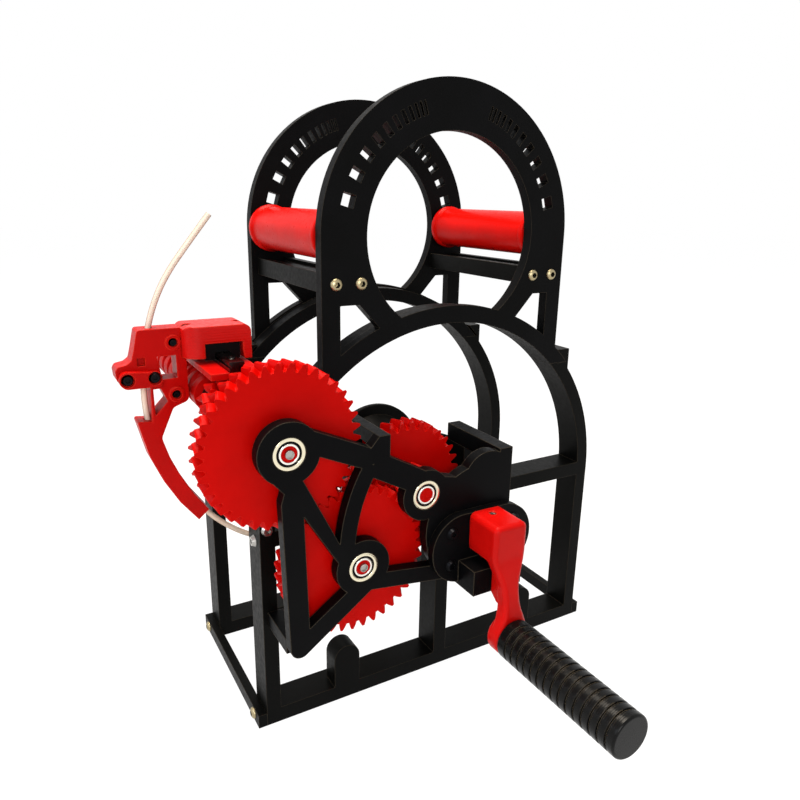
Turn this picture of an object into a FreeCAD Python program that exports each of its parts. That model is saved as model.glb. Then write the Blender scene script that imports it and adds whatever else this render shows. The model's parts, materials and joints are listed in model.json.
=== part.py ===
import FreeCAD, Part
import math
import os
import re
from types import SimpleNamespace
from FreeCAD import Placement, Rotation, Vector

# Filament spool winder. X runs along the two side frames, Y from the gear side to the
# far side, Z up. The model is worked out from the near frame's front face, on its mid line,
# and shifted at the end so that the origin is the middle of its footprint on the table.

doc = FreeCAD.newDocument("SpoolWinder")

SIZES = {
    # Side frames
    "frame_depth": 18.0,
    "frames_apart": 76.0,
    "post_outer": 114.7,
    "band_width": 8.3,
    "shaft_z": 114.3,
    "base_height": 9.1,
    "mid_post_width": 8.8,
    "mid_beam_height": 8.8,
    "hub_radius": 14.0,
    "foot_x": 65.0,
    "foot_width": 16.0,
    "foot_top": 35.0,
    "foot_depth": 12.0,
    "end_bar_thickness": 5.0,
    "end_bar_height": 8.0,
    "lug_inner_inset": 6.4,
    "lug_width": 10.0,
    "lug_below_seam": 5.7,
    "lug_above_seam": 8.3,
    # Upper rings, which carry the full spool on two rollers
    "ring_outer": 78.0,
    "ring_inner": 52.8,
    "plate_thickness": 6.5,
    "ring_z": 267.7,
    "upright_width": 10.2,
    "lip_height": 1.3,
    "window_drop": 33.7,
    "window_shoulder": 57.0,
    "window_toe_x": 45.0,
    "window_toe_drop": 13.0,
    "slot_count": 11,
    "slot_first_angle": 15.5,
    "slot_first_gap": 11.4,
    "slot_gap_ratio": 0.83,
    "slot_length": 7.0,
    # Rollers and the ties under them
    "axle_radius": 4.0,
    "roller_radius": 12.6,
    "roller_flange_radius": 14.0,
    "roller_flange_width": 3.0,
    "roller_end_gap": 1.0,
    "axle_socket": 4.0,
    "tie_inner": 52.0,
    "tie_width": 22.0,
    "tie_height": 10.0,
    "tie_drop": 18.0,
    "tie_groove_width": 13.0,
    "tie_groove_depth": 2.0,
    "tie_screw_inset": 4.0,
    # Bearings, 8 x 16 x 5
    "bearing_bore": 8.0,
    "bearing_outer": 16.0,
    "bearing_width": 5.0,
    "running_gap": 0.05,
    "seat_gap": 0.05,
    "lip_bore_radius": 6.5,
    # Gears
    "tooth_module": 2.0,
    "pressure_angle": 25.0,
    "gear_width": 11.0,
    "addendum": 1.8,
    "dedendum": 2.4,
    "backlash": 0.3,
    "apex_shift": 3.0,
    "pinion_teeth": 10,
    "idler_teeth": 32,
    "middle_teeth": 39,
    "top_teeth": 39,
    "drive_teeth": 19,
    "idler_angle": 146.2,
    "middle_angle": 221.1,
    "top_angle": 119.2,
    "screw_angle": 136.5,
    "rear_gear_gap": 2.5,
    "gear_row_gap": 1.0,
    "collar_radius": 5.6,
    "side_play": 0.2,
    # Gearbox bracket in front of the gears
    "bracket_front": -34.0,
    "bracket_thickness": 6.5,
    "crank_disc_radius": 34.5,
    "top_boss_radius": 15.5,
    "middle_boss_radius": 15.0,
    "idler_boss_radius": 14.0,
    "rear_boss_radius": 11.0,
    "rear_boss_depth": 8.0,
    "arm_width": 13.0,
    "strut_width": 8.0,
    "leg_left": -112.0,
    "leg_width": 10.5,
    "leg_bottom": 64.0,
    "plate_right": 21.0,
    "plate_top": 155.4,
    "shoulder_radius": 16.0,
    "crossbar_width": 8.4,
    "crossbar_height": 10.3,
    "left_bar_right": -57.0,
    "left_bar_width": 6.2,
    "left_bar_top": 174.8,
    "left_bar_height": 7.6,
    "foot_bar_height": 8.0,
    # Crank
    "crank_front": -63.0,
    "crank_hub_depth": 23.0,
    "crank_hub_half": 10.5,
    "crank_arm_half": 5.2,
    "crank_arm_depth": 6.5,
    "crank_throw": 53.0,
    "crank_boss_radius": 11.0,
    "crank_boss_front": -69.5,
    "crank_boss_depth": 8.8,
    "crank_edge": 2.6,
    "housing_half": 33.0,
    "housing_top": 124.0,
    "housing_bottom": 84.0,
    "housing_depth": 5.0,
    "housing_corner": 19.5,
    "housing_bore": 5.0,
    "guard_half": 16.0,
    "guard_top": 97.0,
    "guard_bottom": 82.5,
    "guard_depth": 14.5,
    # Grip
    "grip_length": 81.0,
    "grip_radius": 11.2,
    "grip_groove_depth": 0.9,
    "grip_ribs": 15,
    "grip_rib_pitch": 5.0,
    "grip_rib_land": 3.4,
    "grip_bolt_radius": 3.0,
    "grip_bolt_engaged": 72.0,
    # Spool cones on the crank shaft
    "cone_flange_radius": 35.0,
    "cone_flange_width": 4.0,
    "cone_depth": 12.0,
    "cone_base_radius": 28.0,
    "cone_tip_radius": 22.0,
    "cone_frame_gap": 1.0,
    # Traverse: reversing screw, rail and carriage
    "screw_radius": 9.5,
    "screw_end_gap": 2.0,
    "beam_width": 24.0,
    "beam_height": 3.0,
    "beam_drum_gap": 3.3,
    "beam_overhang": 13.0,
    "riser_width": 10.0,
    "rail_x": -125.7,
    "rail_width": 7.0,
    "rail_height": 4.8,
    "rail_screw_pitch": 15.0,
    "block_width": 17.0,
    "block_length": 19.0,
    "block_height": 6.5,
    "block_lift": 1.5,
    "carriage_front": 8.0,
    "carriage_width": 28.0,
    "carriage_left": -143.5,
    "carriage_length": 22.0,
    "carriage_top": 227.2,
    "carriage_bottom": 212.0,
    "carriage_roof": 219.0,
    "cover_corner": 8.0,
    "carriage_lug_reach": 9.5,
    "slide_gap": 0.2,
    "follower_gap": 0.4,
    # Guide arm
    "arm_front": 16.0,
    "arm_depth": 11.0,
    "arm_top": 226.4,
    "strand_x": -161.5,
    "strand_radius": 1.425,
    "strand_bore": 1.9,
    "clamp_left": -173.4,
    "clamp_right": -153.9,
    "clamp_bottom": 200.0,
    "clamp_top": 208.2,
    "clamp_thickness": 4.0,
    "arm_screw_x": -147.2,
    "arm_upper_screw_z": 219.5,
    "arm_lower_screw_z": 194.2,
    "arm_boss_radius": 3.6,
    "arm_boss_height": 0.8,
    # Screws
    "screw_shank": 1.5,
    "screw_head": 3.3,
    "screw_head_height": 1.9,
    "screw_socket": 1.35,
    "small_shank": 1.0,
    "small_head": 2.0,
    "small_head_height": 1.4,
    "clamp_head": 2.8,
    "screw_gap": 0.08,
}


def derive(values):
    """Return the places that follow from the driving sizes."""
    v = SimpleNamespace(**values)
    out = {}
    out["band_inner"] = v.post_outer - v.band_width
    out["seam_z"] = v.ring_z - v.ring_outer
    out["lug_bottom"] = out["seam_z"] - v.lug_below_seam
    out["lug_top"] = out["seam_z"] + v.lug_above_seam
    arch_at_seam = math.sqrt(v.post_outer ** 2 - (out["seam_z"] - v.shaft_z) ** 2)
    out["lug_inner"] = arch_at_seam - v.lug_inner_inset
    out["lug_outer"] = out["lug_inner"] + v.lug_width
    out["lip_radius"] = v.post_outer + v.lip_height
    out["window_top"] = v.ring_z - v.window_drop
    out["window_toe_z"] = out["window_top"] - v.window_toe_drop
    out["tie_top"] = v.ring_z - v.tie_drop
    out["far_front"] = v.frame_depth + v.frames_apart
    out["far_back"] = 2 * v.frame_depth + v.frames_apart
    out["ring_mid"] = (v.ring_outer + v.ring_inner) / 2
    out["bearing_radius"] = v.bearing_outer / 2
    out["shaft_radius"] = v.bearing_bore / 2 - v.running_gap
    out["idler_x"], out["idler_z"] = reach(
        0, v.shaft_z, v.tooth_module * (v.pinion_teeth + v.idler_teeth) / 2, v.idler_angle)
    out["middle_x"], out["middle_z"] = reach(
        out["idler_x"], out["idler_z"],
        v.tooth_module * (v.pinion_teeth + v.middle_teeth) / 2, v.middle_angle)
    out["top_x"], out["top_z"] = reach(
        out["middle_x"], out["middle_z"],
        v.tooth_module * (v.middle_teeth + v.top_teeth) / 2, v.top_angle)
    out["screw_x"], out["screw_z"] = reach(
        out["top_x"], out["top_z"],
        v.tooth_module * (v.drive_teeth + v.pinion_teeth) / 2, v.screw_angle)
    out["rear_row"] = -v.rear_gear_gap - v.gear_width
    out["front_row"] = out["rear_row"] - v.gear_row_gap - v.gear_width
    out["bracket_back"] = v.bracket_front + v.bracket_thickness
    out["beam_bottom"] = out["screw_z"] + v.screw_radius + v.beam_drum_gap
    out["rail_bottom"] = out["beam_bottom"] + v.beam_height
    out["rail_top"] = out["rail_bottom"] + v.rail_height
    out["grip_z"] = v.shaft_z - v.crank_throw
    out["strand_y"] = v.arm_front + v.arm_depth / 2
    return out


def reach(x, z, length, angle):
    """Return the point at a distance and a direction, in degrees from +X towards +Z."""
    turn = math.radians(angle)
    return x + length * math.cos(turn), z + length * math.sin(turn)


sheet = doc.addObject("Spreadsheet::Sheet", "Sizes")
ALL_SIZES = dict(SIZES)
ALL_SIZES.update(derive(SIZES))
ALL_SIZES.update({"shift_x": 0.0, "shift_y": 0.0})
for row, (alias, value) in enumerate(ALL_SIZES.items(), start=1):
    sheet.set("A%d" % row, alias.replace("_", " "))
    sheet.set("B%d" % row, repr(value))
    sheet.setAlias("B%d" % row, alias)
doc.recompute()
s = SimpleNamespace(**{alias: float(sheet.get(alias)) for alias in ALL_SIZES})


def formula(text):
    """Return an expression whose names point at the sheet's cells."""
    return re.sub(r"[a-z][a-z_]*[a-z]",
                  lambda m: "Sizes." + m[0] if m[0] in ALL_SIZES else m[0], str(text))


def bind(target, **properties):
    for name, text in properties.items():
        target.setExpression(name, formula(text))


def place(target, x, y, z, rotation=None):
    """Put an object at a place given by expressions."""
    if rotation is not None:
        target.Placement = Placement(Vector(), rotation)
    for axis, text in zip("xyz", (x, y, z)):
        target.setExpression("Placement.Base." + axis, formula(text))
    return target


ALONG_Y = Rotation(Vector(1, 0, 0), -90)
TOWARDS_Y = {1: Rotation(Vector(1, 0, 0), -90), -1: Rotation(Vector(1, 0, 0), 90)}
TOWARDS_X = {1: Rotation(Vector(0, 1, 0), 90), -1: Rotation(Vector(0, 1, 0), -90)}
UPWARDS = Rotation()
DOWNWARDS = Rotation(Vector(1, 0, 0), 180)

finished = []


def box(x, y, z, length, width, height):
    solid = doc.addObject("Part::Box", "Block")
    bind(solid, Length=length, Width=width, Height=height)
    return place(solid, x, y, z)


def rod(x, y, z, radius, length, rotation=ALONG_Y):
    solid = doc.addObject("Part::Cylinder", "Rod")
    bind(solid, Radius=radius, Height=length)
    return place(solid, x, y, z, rotation)


def slab(points, y, depth):
    """A plate in the XZ plane from corner points, grown along +Y."""
    loop = Part.makePolygon([Vector(x, 0, z) for x, z in points] + [Vector(points[0][0], 0, points[0][1])])
    flat = doc.addObject("Part::Feature", "Outline")
    flat.Shape = Part.Face(loop)
    solid = doc.addObject("Part::Extrusion", "Slab")
    solid.Base = flat
    solid.DirMode = "Custom"
    solid.Dir = Vector(0, 1, 0)
    solid.Solid = True
    bind(solid, LengthFwd=depth)
    return place(solid, 0, y, 0)


def fuse(*solids):
    joined = doc.addObject("Part::MultiFuse", "Joined")
    joined.Shapes = list(solids)
    joined.Refine = True
    return joined


def cut(base, *tools):
    result = doc.addObject("Part::Cut", "Trimmed")
    result.Base = base
    result.Tool = tools[0] if len(tools) == 1 else fuse(*tools)
    return result


def common(base, tool):
    result = doc.addObject("Part::MultiCommon", "Shared")
    result.Shapes = [base, tool]
    return result


def group(*solids):
    result = doc.addObject("Part::Compound", "Set")
    result.Links = list(solids)
    return result


def finish(solid, name):
    """Name a sub-part and give it its place in the finished frame."""
    solid.Label = name
    finished.append(solid)
    for axis in "xy":
        path = "Placement.Base." + axis
        kept = dict(solid.ExpressionEngine).get(path, dict(solid.ExpressionEngine).get("." + path))
        own = "(%s) + " % kept if kept else ""
        solid.setExpression(path, own + "Sizes.shift_" + axis)
    return solid


def strut(start, end, width, y, depth):
    """A straight bar between two points in the XZ plane, with round ends."""
    (x0, z0), (x1, z1) = start, end
    length = math.hypot(x1 - x0, z1 - z0)
    side_x = -(z1 - z0) / length * width / 2
    side_z = (x1 - x0) / length * width / 2
    corners = [(x0 + side_x, z0 + side_z), (x1 + side_x, z1 + side_z),
               (x1 - side_x, z1 - side_z), (x0 - side_x, z0 - side_z)]
    return slab(corners, y, depth)


def rounded_loop(corners):
    """Edges of a closed outline: each corner is (x, z) or (x, z, radius)."""
    points = [Vector(c[0], c[1], 0) for c in corners]
    radii = [c[2] if len(c) > 2 else 0.0 for c in corners]
    count = len(points)
    starts = []
    arcs = []
    for i, point in enumerate(points):
        back = points[i - 1] - point
        ahead = points[(i + 1) % count] - point
        turn = back.getAngle(ahead)
        if radii[i] <= 0 or abs(turn - math.pi) < 1e-6:
            starts.append((point, point))
            arcs.append(None)
            continue
        trim = radii[i] / math.tan(turn / 2)
        back.normalize()
        ahead.normalize()
        first = point + back * trim
        last = point + ahead * trim
        to_centre = back + ahead
        to_centre.normalize()
        middle = point + to_centre * (radii[i] / math.sin(turn / 2) - radii[i])
        starts.append((first, last))
        arcs.append(Part.Arc(first, middle, last))
    edges = []
    for i in range(count):
        if arcs[i] is not None:
            edges.append(arcs[i])
        start = starts[i][1]
        end = starts[(i + 1) % count][0]
        if start.distanceToPoint(end) > 1e-6:
            edges.append(Part.LineSegment(start, end))
    return edges


def origin_plane(body, role):
    return [f for f in body.Origin.OriginFeatures if f.Role == role][0]


def plate_body(name, loops, front, depth):
    """A padded plate: the first loop is its outline, the others are its windows."""
    body = doc.addObject("PartDesign::Body", name)
    sketch = body.newObject("Sketcher::SketchObject", "Outline")
    sketch.AttachmentSupport = (origin_plane(body, "XZ_Plane"), "")
    sketch.MapMode = "FlatFace"
    sketch.setExpression("AttachmentOffset.Base.z", formula("-(%s)" % front))
    for loop in loops:
        sketch.addGeometry(rounded_loop(loop))
    pad = body.newObject("PartDesign::Pad", "Plate")
    pad.Profile = sketch
    pad.Reversed = True
    bind(pad, Length=depth)
    body.Tip = pad
    return body


def turned_body(name, profile):
    """A piece turned about the Y axis from (y, radius) corners."""
    body = doc.addObject("PartDesign::Body", name)
    sketch = body.newObject("Sketcher::SketchObject", "Profile")
    sketch.AttachmentSupport = (origin_plane(body, "XY_Plane"), "")
    sketch.MapMode = "FlatFace"
    sketch.addGeometry(rounded_loop([(c[1], c[0]) + tuple(c[2:]) for c in profile]))
    turn = body.newObject("PartDesign::Revolution", "Turned")
    turn.Profile = sketch
    turn.ReferenceAxis = (sketch, ["V_Axis"])
    turn.Angle = 360.0
    body.Tip = turn
    return body


def screw_at(x, y, z, outward, shank, head="screw_head", head_height="screw_head_height",
             radius="screw_shank"):
    """A button-head screw: its head stands along the outward direction."""
    stem = rod("0", "0", "-(%s)" % shank, radius, shank, UPWARDS)
    cap = doc.addObject("Part::Cone", "Head")
    bind(cap, Radius1=head, Radius2="%s * 0.72" % head, Height=head_height)
    key = doc.addObject("Part::Prism", "Key")
    key.Polygon = 6
    bind(key, Circumradius="%s * 0.42" % head, Height=head_height)
    place(key, "0", "0", "%s * 0.4" % head_height)
    return place(cut(fuse(stem, cap), key), x, y, z, outward)


def hole_at(x, y, z, inward, depth, radius="screw_shank"):
    """The hole that a screw of that shank radius passes or bites into."""
    return rod(x, y, z, "%s + screw_gap" % radius, depth, inward)


# Side frames: one function makes the lower half of either frame.

def bearing_seat(x, z, front, through_to):
    """A pocket for a bearing in a front face, and the relief bore behind it."""
    seat = rod(x, front, z, "bearing_radius + seat_gap", "bearing_width")
    relief = rod(x, front, z, "lip_bore_radius", through_to)
    return [seat, relief]


def arch_band(front, depth, outer, low, high):
    """The part of the arch band between two heights."""
    disc = rod("0", front, "shaft_z", outer, depth)
    hollow = rod("0", front, "shaft_z", "band_inner", depth)
    slice_box = box("-post_outer - 5", front, low, "2 * (post_outer + 5)", depth, "%s - (%s)" % (high, low))
    return common(cut(disc, hollow), slice_box)


def lower_frame(front):
    """Base beam, posts, mid post, arch sides and hub of one frame."""
    band = "band_width"
    depth = "frame_depth"
    solids = [
        box("-post_outer", front, "0", "2 * post_outer", depth, "base_height"),
        box("-post_outer", front, "0", band, depth, "shaft_z"),
        box("post_outer - band_width", front, "0", band, depth, "shaft_z"),
        box("-mid_post_width / 2", front, "0", "mid_post_width", depth, "shaft_z"),
        rod("0", front, "shaft_z", "hub_radius", depth),
        arch_band(front, depth, "post_outer", "shaft_z", "seam_z"),
    ]
    for side in ("", "-"):
        x = "lug_inner" if side == "" else "-lug_outer"
        tab = box(x, front, "lug_bottom", "lug_outer - lug_inner", depth, "lug_top - lug_bottom")
        inside = rod("0", front, "shaft_z", "post_outer - 1", depth)
        solids.append(cut(tab, inside))
    return solids


def feet(front):
    """Two round-topped ears that stand on the base beam."""
    solids = []
    for side in (-1, 1):
        centre = "%d * foot_x" % side
        solids.append(box("%s - foot_width / 2" % centre, front, "0",
                          "foot_width", "foot_depth", "foot_top - foot_width / 2"))
        solids.append(rod(centre, front, "foot_top - foot_width / 2", "foot_width / 2", "foot_depth"))
    return solids


def end_screw_holes(front):
    """Holes in both ends of one frame for the end bars' screws."""
    y = "%s + frame_depth / 2" % front
    z = "end_bar_height / 2"
    return [hole_at("-post_outer", y, z, TOWARDS_X[1], "10"),
            hole_at("post_outer", y, z, TOWARDS_X[-1], "10")]


def traverse_ear(front):
    """The ear outside the arch that carries the rail beam and the screw's journal."""
    middle = s.post_outer - s.band_width / 2
    rise = (s.seam_z - s.arm_width / 2 - 1 - s.shaft_z) / middle
    root = reach(0, s.shaft_z, middle, 180 - math.degrees(math.asin(rise)))
    depth = "rear_boss_depth"
    return [
        strut(root, (s.screw_x, s.screw_z), s.arm_width, front, depth),
        rod("screw_x", front, "screw_z", "arm_width / 2", depth),
        box("rail_x - riser_width / 2", front, "screw_z", "riser_width", depth, "beam_bottom - screw_z"),
    ]


def ring_space(front):
    """The space above the seam that the upper ring's crown fills."""
    disc = rod("0", front, "shaft_z", "lip_radius + seat_gap", "frame_depth")
    above = box("-2 * post_outer", front, "seam_z", "4 * post_outer", "frame_depth", "2 * post_outer")
    return common(disc, above)


def make_near_lower_frame():
    solids = lower_frame("0") + feet("0") + traverse_ear("0")
    depth = "rear_boss_depth"
    idler = (s.idler_x, s.idler_z)
    bar_x = s.left_bar_right - s.left_bar_width / 2
    bar_z = s.left_bar_top - s.left_bar_height
    top_root = reach(0, s.shaft_z, s.post_outer - s.band_width / 2, 180 - 28)
    solids += [
        box("-post_outer + 1", "0", "shaft_z - mid_beam_height / 2", "2 * (post_outer - 1)",
            "frame_depth", "mid_beam_height"),
        rod("idler_x", "0", "idler_z", "rear_boss_radius", depth),
        rod("middle_x", "0", "middle_z", "rear_boss_radius", depth),
        rod("top_x", "0", "top_z", "rear_boss_radius", depth),
        strut((0, s.shaft_z), idler, s.strut_width, "0", depth),
        strut(idler, (bar_x + 2, bar_z - 8), s.strut_width, "0", depth),
        strut(top_root, (s.top_x, s.top_z), s.arm_width, "0", depth),
        strut((s.top_x, s.top_z), (s.screw_x, s.screw_z), s.strut_width, "0", depth),
        box("left_bar_right - left_bar_width - 1", "0", "shaft_z",
            "left_bar_width + 2", depth, "left_bar_top - left_bar_height - shaft_z"),
        box("plate_right - crossbar_width", "0", "shaft_z", "crossbar_width",
            "frame_depth", "plate_top - crossbar_height - shaft_z"),
    ]
    tools = [ring_space("0")]
    for x, z in (("0", "shaft_z"), ("idler_x", "idler_z"), ("middle_x", "middle_z"), ("top_x", "top_z")):
        tools += bearing_seat(x, z, "0", "frame_depth")
    tools.append(rod("screw_x", "0", "screw_z", "shaft_radius + running_gap", depth))
    tools += end_screw_holes("0")
    tools.append(hole_at("-post_outer + band_width / 2", "0", "shaft_z + 6", TOWARDS_Y[1], "8"))
    tools.append(hole_at("-post_outer", "frame_depth / 2", "shaft_z - 3", TOWARDS_X[1], "12"))
    tools.append(hole_at("post_outer", "frame_depth / 2", "shaft_z - 3", TOWARDS_X[-1], "12"))
    finish(cut(fuse(*solids), *tools), "near_lower_frame")


def make_far_lower_frame():
    ear_front = "far_back - rear_boss_depth"
    solids = lower_frame("far_front") + traverse_ear(ear_front)
    tools = [ring_space("far_front")] + bearing_seat("0", "shaft_z", "far_front", "frame_depth")
    tools.append(rod("screw_x", ear_front, "screw_z", "shaft_radius + running_gap", "rear_boss_depth"))
    tools += end_screw_holes("far_front")
    finish(cut(fuse(*solids), *tools), "far_lower_frame")


# Upper rings

def slot_angles():
    """Angles of the roller slots, closing up towards the top."""
    angle = s.slot_first_angle
    gap = s.slot_first_gap
    places = []
    for _ in range(int(s.slot_count)):
        places.append((angle, gap))
        angle += gap
        gap *= s.slot_gap_ratio
    return places


def slot_tool(angle, gap, front):
    width = s.ring_mid * math.radians(gap) / 2
    tool = doc.addObject("Part::Box", "Slot")
    bind(tool, Length="slot_length", Width="plate_thickness")
    tool.Height = width
    turn = Rotation(Vector(0, 1, 0), -angle)
    corner = turn.multVec(Vector(s.ring_mid - s.slot_length / 2, 0, -width / 2))
    return place(tool, repr(corner.x), front, "ring_z + (%r)" % corner.z, turn)


def upper_ring(front, plate_front, socket_front, name):
    """The ring plate, its uprights and the crown of the arch, as one printed piece."""
    thick = "plate_thickness"
    disc = rod("0", plate_front, "ring_z", "ring_outer", thick)
    shoulders = box("-ring_outer", plate_front, "seam_z", "2 * ring_outer", thick, "ring_outer")
    opening = rod("0", plate_front, "ring_z", "ring_inner", thick)
    windows = []
    for side in (-1, 1):
        wall = side * (s.ring_outer - s.upright_width)
        corners = [(wall, s.window_top), (side * s.window_shoulder, s.window_top),
                   (side * s.window_toe_x, s.window_toe_z),
                   (side * s.window_toe_x, s.seam_z), (wall, s.seam_z)]
        windows.append(slab(corners, plate_front, thick))
    slots = []
    for angle, gap in slot_angles():
        slots.append(slot_tool(angle, gap, plate_front))
        slots.append(slot_tool(180 - angle, gap, plate_front))
    sheet_part = cut(fuse(disc, shoulders), opening, *(windows + slots))
    crown_plate = arch_band(plate_front, thick, "lip_radius", "seam_z", "shaft_z + 2 * post_outer")
    crown = arch_band(front, "frame_depth", "post_outer", "seam_z", "shaft_z + 2 * post_outer")
    below = rod("0", plate_front, "shaft_z", "band_inner", thick)
    tools = [below]
    for side in ("-", ""):
        tools.append(rod("%sring_mid" % side, socket_front, "ring_z", "axle_radius + seat_gap", "axle_socket"))
        for inset in ("tie_inner + tie_screw_inset", "tie_inner + tie_width - tie_screw_inset"):
            x = "%s(%s)" % (side, inset)
            z = "tie_top - tie_height / 2"
            tools.append(hole_at(x, plate_front, z, TOWARDS_Y[1], thick))
    finish(cut(fuse(sheet_part, crown_plate, crown), *tools), name)


def make_rings():
    upper_ring("0", "0", "plate_thickness - axle_socket", "near_spool_ring")
    upper_ring("far_front", "far_back - plate_thickness", "far_back - plate_thickness", "far_spool_ring")


def make_ties():
    """The two grooved bars under the rollers, and the screws that hold them."""
    screws = []
    span = "far_back - 2 * plate_thickness"
    for side, name in (("-", "left_roller_tie"), ("", "right_roller_tie")):
        x = "tie_inner" if side == "" else "-tie_inner - tie_width"
        bar = box(x, "plate_thickness", "tie_top - tie_height", "tie_width", span, "tie_height")
        groove = box("%s + (tie_width - tie_groove_width) / 2" % x, "plate_thickness",
                     "tie_top - tie_groove_depth", "tie_groove_width", span, "tie_groove_depth")
        tools = [groove]
        for inset in ("tie_inner + tie_screw_inset", "tie_inner + tie_width - tie_screw_inset"):
            hole_x = "%s(%s)" % (side, inset)
            z = "tie_top - tie_height / 2"
            tools.append(hole_at(hole_x, "plate_thickness", z, TOWARDS_Y[1], "10"))
            tools.append(hole_at(hole_x, "far_back - plate_thickness", z, TOWARDS_Y[-1], "10"))
            screws.append(screw_at(hole_x, "0", z, TOWARDS_Y[-1], "plate_thickness + 8"))
            screws.append(screw_at(hole_x, "far_back", z, TOWARDS_Y[1], "plate_thickness + 8"))
        finish(cut(bar, *tools), name)
    finish(group(*screws), "tie_screws")


def make_rollers():
    near_end = s.plate_thickness + s.roller_end_gap
    length = s.far_back - 2 * near_end
    bore = s.bearing_radius + s.seat_gap
    relief = s.lip_bore_radius
    seat = s.bearing_width
    flange = s.roller_flange_width
    profile = [
        (0, bore), (0, s.roller_flange_radius, 0.8), (flange, s.roller_flange_radius, 0.8),
        (flange + 1.5, s.roller_radius), (length - flange - 1.5, s.roller_radius),
        (length - flange, s.roller_flange_radius, 0.8), (length, s.roller_flange_radius, 0.8),
        (length, bore), (length - seat, bore), (length - seat, relief), (seat, relief), (seat, bore),
    ]
    for side, label in (("-", "left"), ("", "right")):
        x = "%sring_mid" % side
        roller = turned_body("Roller", profile)
        finish(place(roller, x, repr(near_end), "ring_z"), label + "_roller")
        bearings = [bearing(x, repr(near_end), "ring_z"),
                    bearing(x, repr(near_end + length - seat), "ring_z")]
        finish(group(*bearings), label + "_roller_bearings")
        axle = rod(x, "plate_thickness - axle_socket", "ring_z", "shaft_radius",
                   "far_back - 2 * plate_thickness + 2 * axle_socket")
        finish(axle, label + "_roller_axle")


def bearing(x, y, z):
    """A shielded ball bearing as one ring with a groove between its races on each face."""
    bore = s.bearing_bore / 2
    outer = s.bearing_radius
    width = s.bearing_width
    race = (outer - bore) * 0.3
    dip = 0.35
    profile = [
        (0, bore), (0, bore + race), (dip, bore + race), (dip, outer - race), (0, outer - race),
        (0, outer, 0.3), (width, outer, 0.3), (width, outer - race), (width - dip, outer - race),
        (width - dip, bore + race), (width, bore + race), (width, bore),
    ]
    return place(turned_body("Bearing", profile), x, y, z)


def make_end_bars():
    screws = []
    for side, name in ((-1, "left_end_bar"), (1, "right_end_bar")):
        x = "post_outer" if side > 0 else "-post_outer - end_bar_thickness"
        bar = box(x, "0", "0", "end_bar_thickness", "far_back", "end_bar_height")
        face = "%d * (post_outer + end_bar_thickness)" % side
        holes = []
        for y in ("frame_depth / 2", "far_back - frame_depth / 2"):
            z = "end_bar_height / 2"
            holes.append(hole_at(face, y, z, TOWARDS_X[-side], "end_bar_thickness"))
            screws.append(screw_at(face, y, z, TOWARDS_X[side], "end_bar_thickness + 8"))
        finish(cut(bar, *holes), name)
    finish(group(*screws), "end_bar_screws")
    post_screws = [
        screw_at("-post_outer + band_width / 2", "0", "shaft_z + 6", TOWARDS_Y[-1], "7"),
        screw_at("-post_outer", "frame_depth / 2", "shaft_z - 3", TOWARDS_X[-1], "10"),
        screw_at("post_outer", "frame_depth / 2", "shaft_z - 3", TOWARDS_X[1], "10"),
    ]
    finish(group(*post_screws), "post_screws")


# Gears

def involute(angle):
    return math.tan(angle) - angle


def tooth_half_angle(teeth, radius):
    """Half of a tooth's angular thickness at a radius, with the backlash taken off."""
    pitch = s.tooth_module * teeth / 2
    base = pitch * math.cos(math.radians(s.pressure_angle))
    at_pitch = math.pi / (2 * teeth) - s.backlash / 4 / pitch
    slope = math.acos(min(1.0, base / max(radius, base)))
    return at_pitch + involute(math.radians(s.pressure_angle)) - involute(slope)


def toothed_loop(teeth, y, turn):
    """The outline of a gear in the plane y, turned by an angle in radians."""
    pitch = s.tooth_module * teeth / 2
    tip = pitch + s.addendum
    root = pitch - s.dedendum
    radii = [root, pitch - s.addendum / 2, pitch + s.addendum / 3, tip]
    points = []
    for tooth in range(teeth):
        centre = turn + 2 * math.pi * tooth / teeth
        flank = [(r, tooth_half_angle(teeth, r)) for r in radii]
        outline = [(r, centre - a) for r, a in flank] + [(r, centre + a) for r, a in reversed(flank)]
        points += [Vector(r * math.cos(a), y, r * math.sin(a)) for r, a in outline]
    return Part.makePolygon(points + points[:1])


def herringbone(teeth, hand, phase):
    """A herringbone gear from y = 0 to its width, its tooth apex shifted half way."""
    pitch = s.tooth_module * teeth / 2
    shift = hand * s.apex_shift / pitch
    loops = [toothed_loop(teeth, 0.0, phase),
             toothed_loop(teeth, s.gear_width / 2, phase + shift),
             toothed_loop(teeth, s.gear_width, phase)]
    return Part.makeLoft(loops, True, True)


def mate_phase(teeth, phase, direction, mate_teeth):
    """The phase that puts the mate's gap on this gear's tooth along the line of centres."""
    heading = math.radians(direction)
    offset = (heading - phase) * teeth / (2 * math.pi)
    return heading + math.pi - (0.5 - offset) * 2 * math.pi / mate_teeth


def stem(radius, start, end):
    return Part.makeCylinder(radius, end - start, Vector(0, start, 0), Vector(0, 1, 0))


def gear_part(name, teeth, hand, phase, row, x, z, stems, bores):
    """A gear with the turned stems it is printed with, less its bores."""
    shape = herringbone(int(teeth), hand, phase)
    shape.translate(Vector(0, row, 0))
    for radius, start, end in stems:
        shape = shape.fuse(stem(radius, start, end))
    for radius, start, end in bores:
        shape = shape.cut(stem(radius, start, end))
    feature = doc.addObject("Part::Feature", "Gear")
    feature.Shape = shape
    feature.Placement = Placement()
    finish(place(feature, x, "0", z), name)


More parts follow.
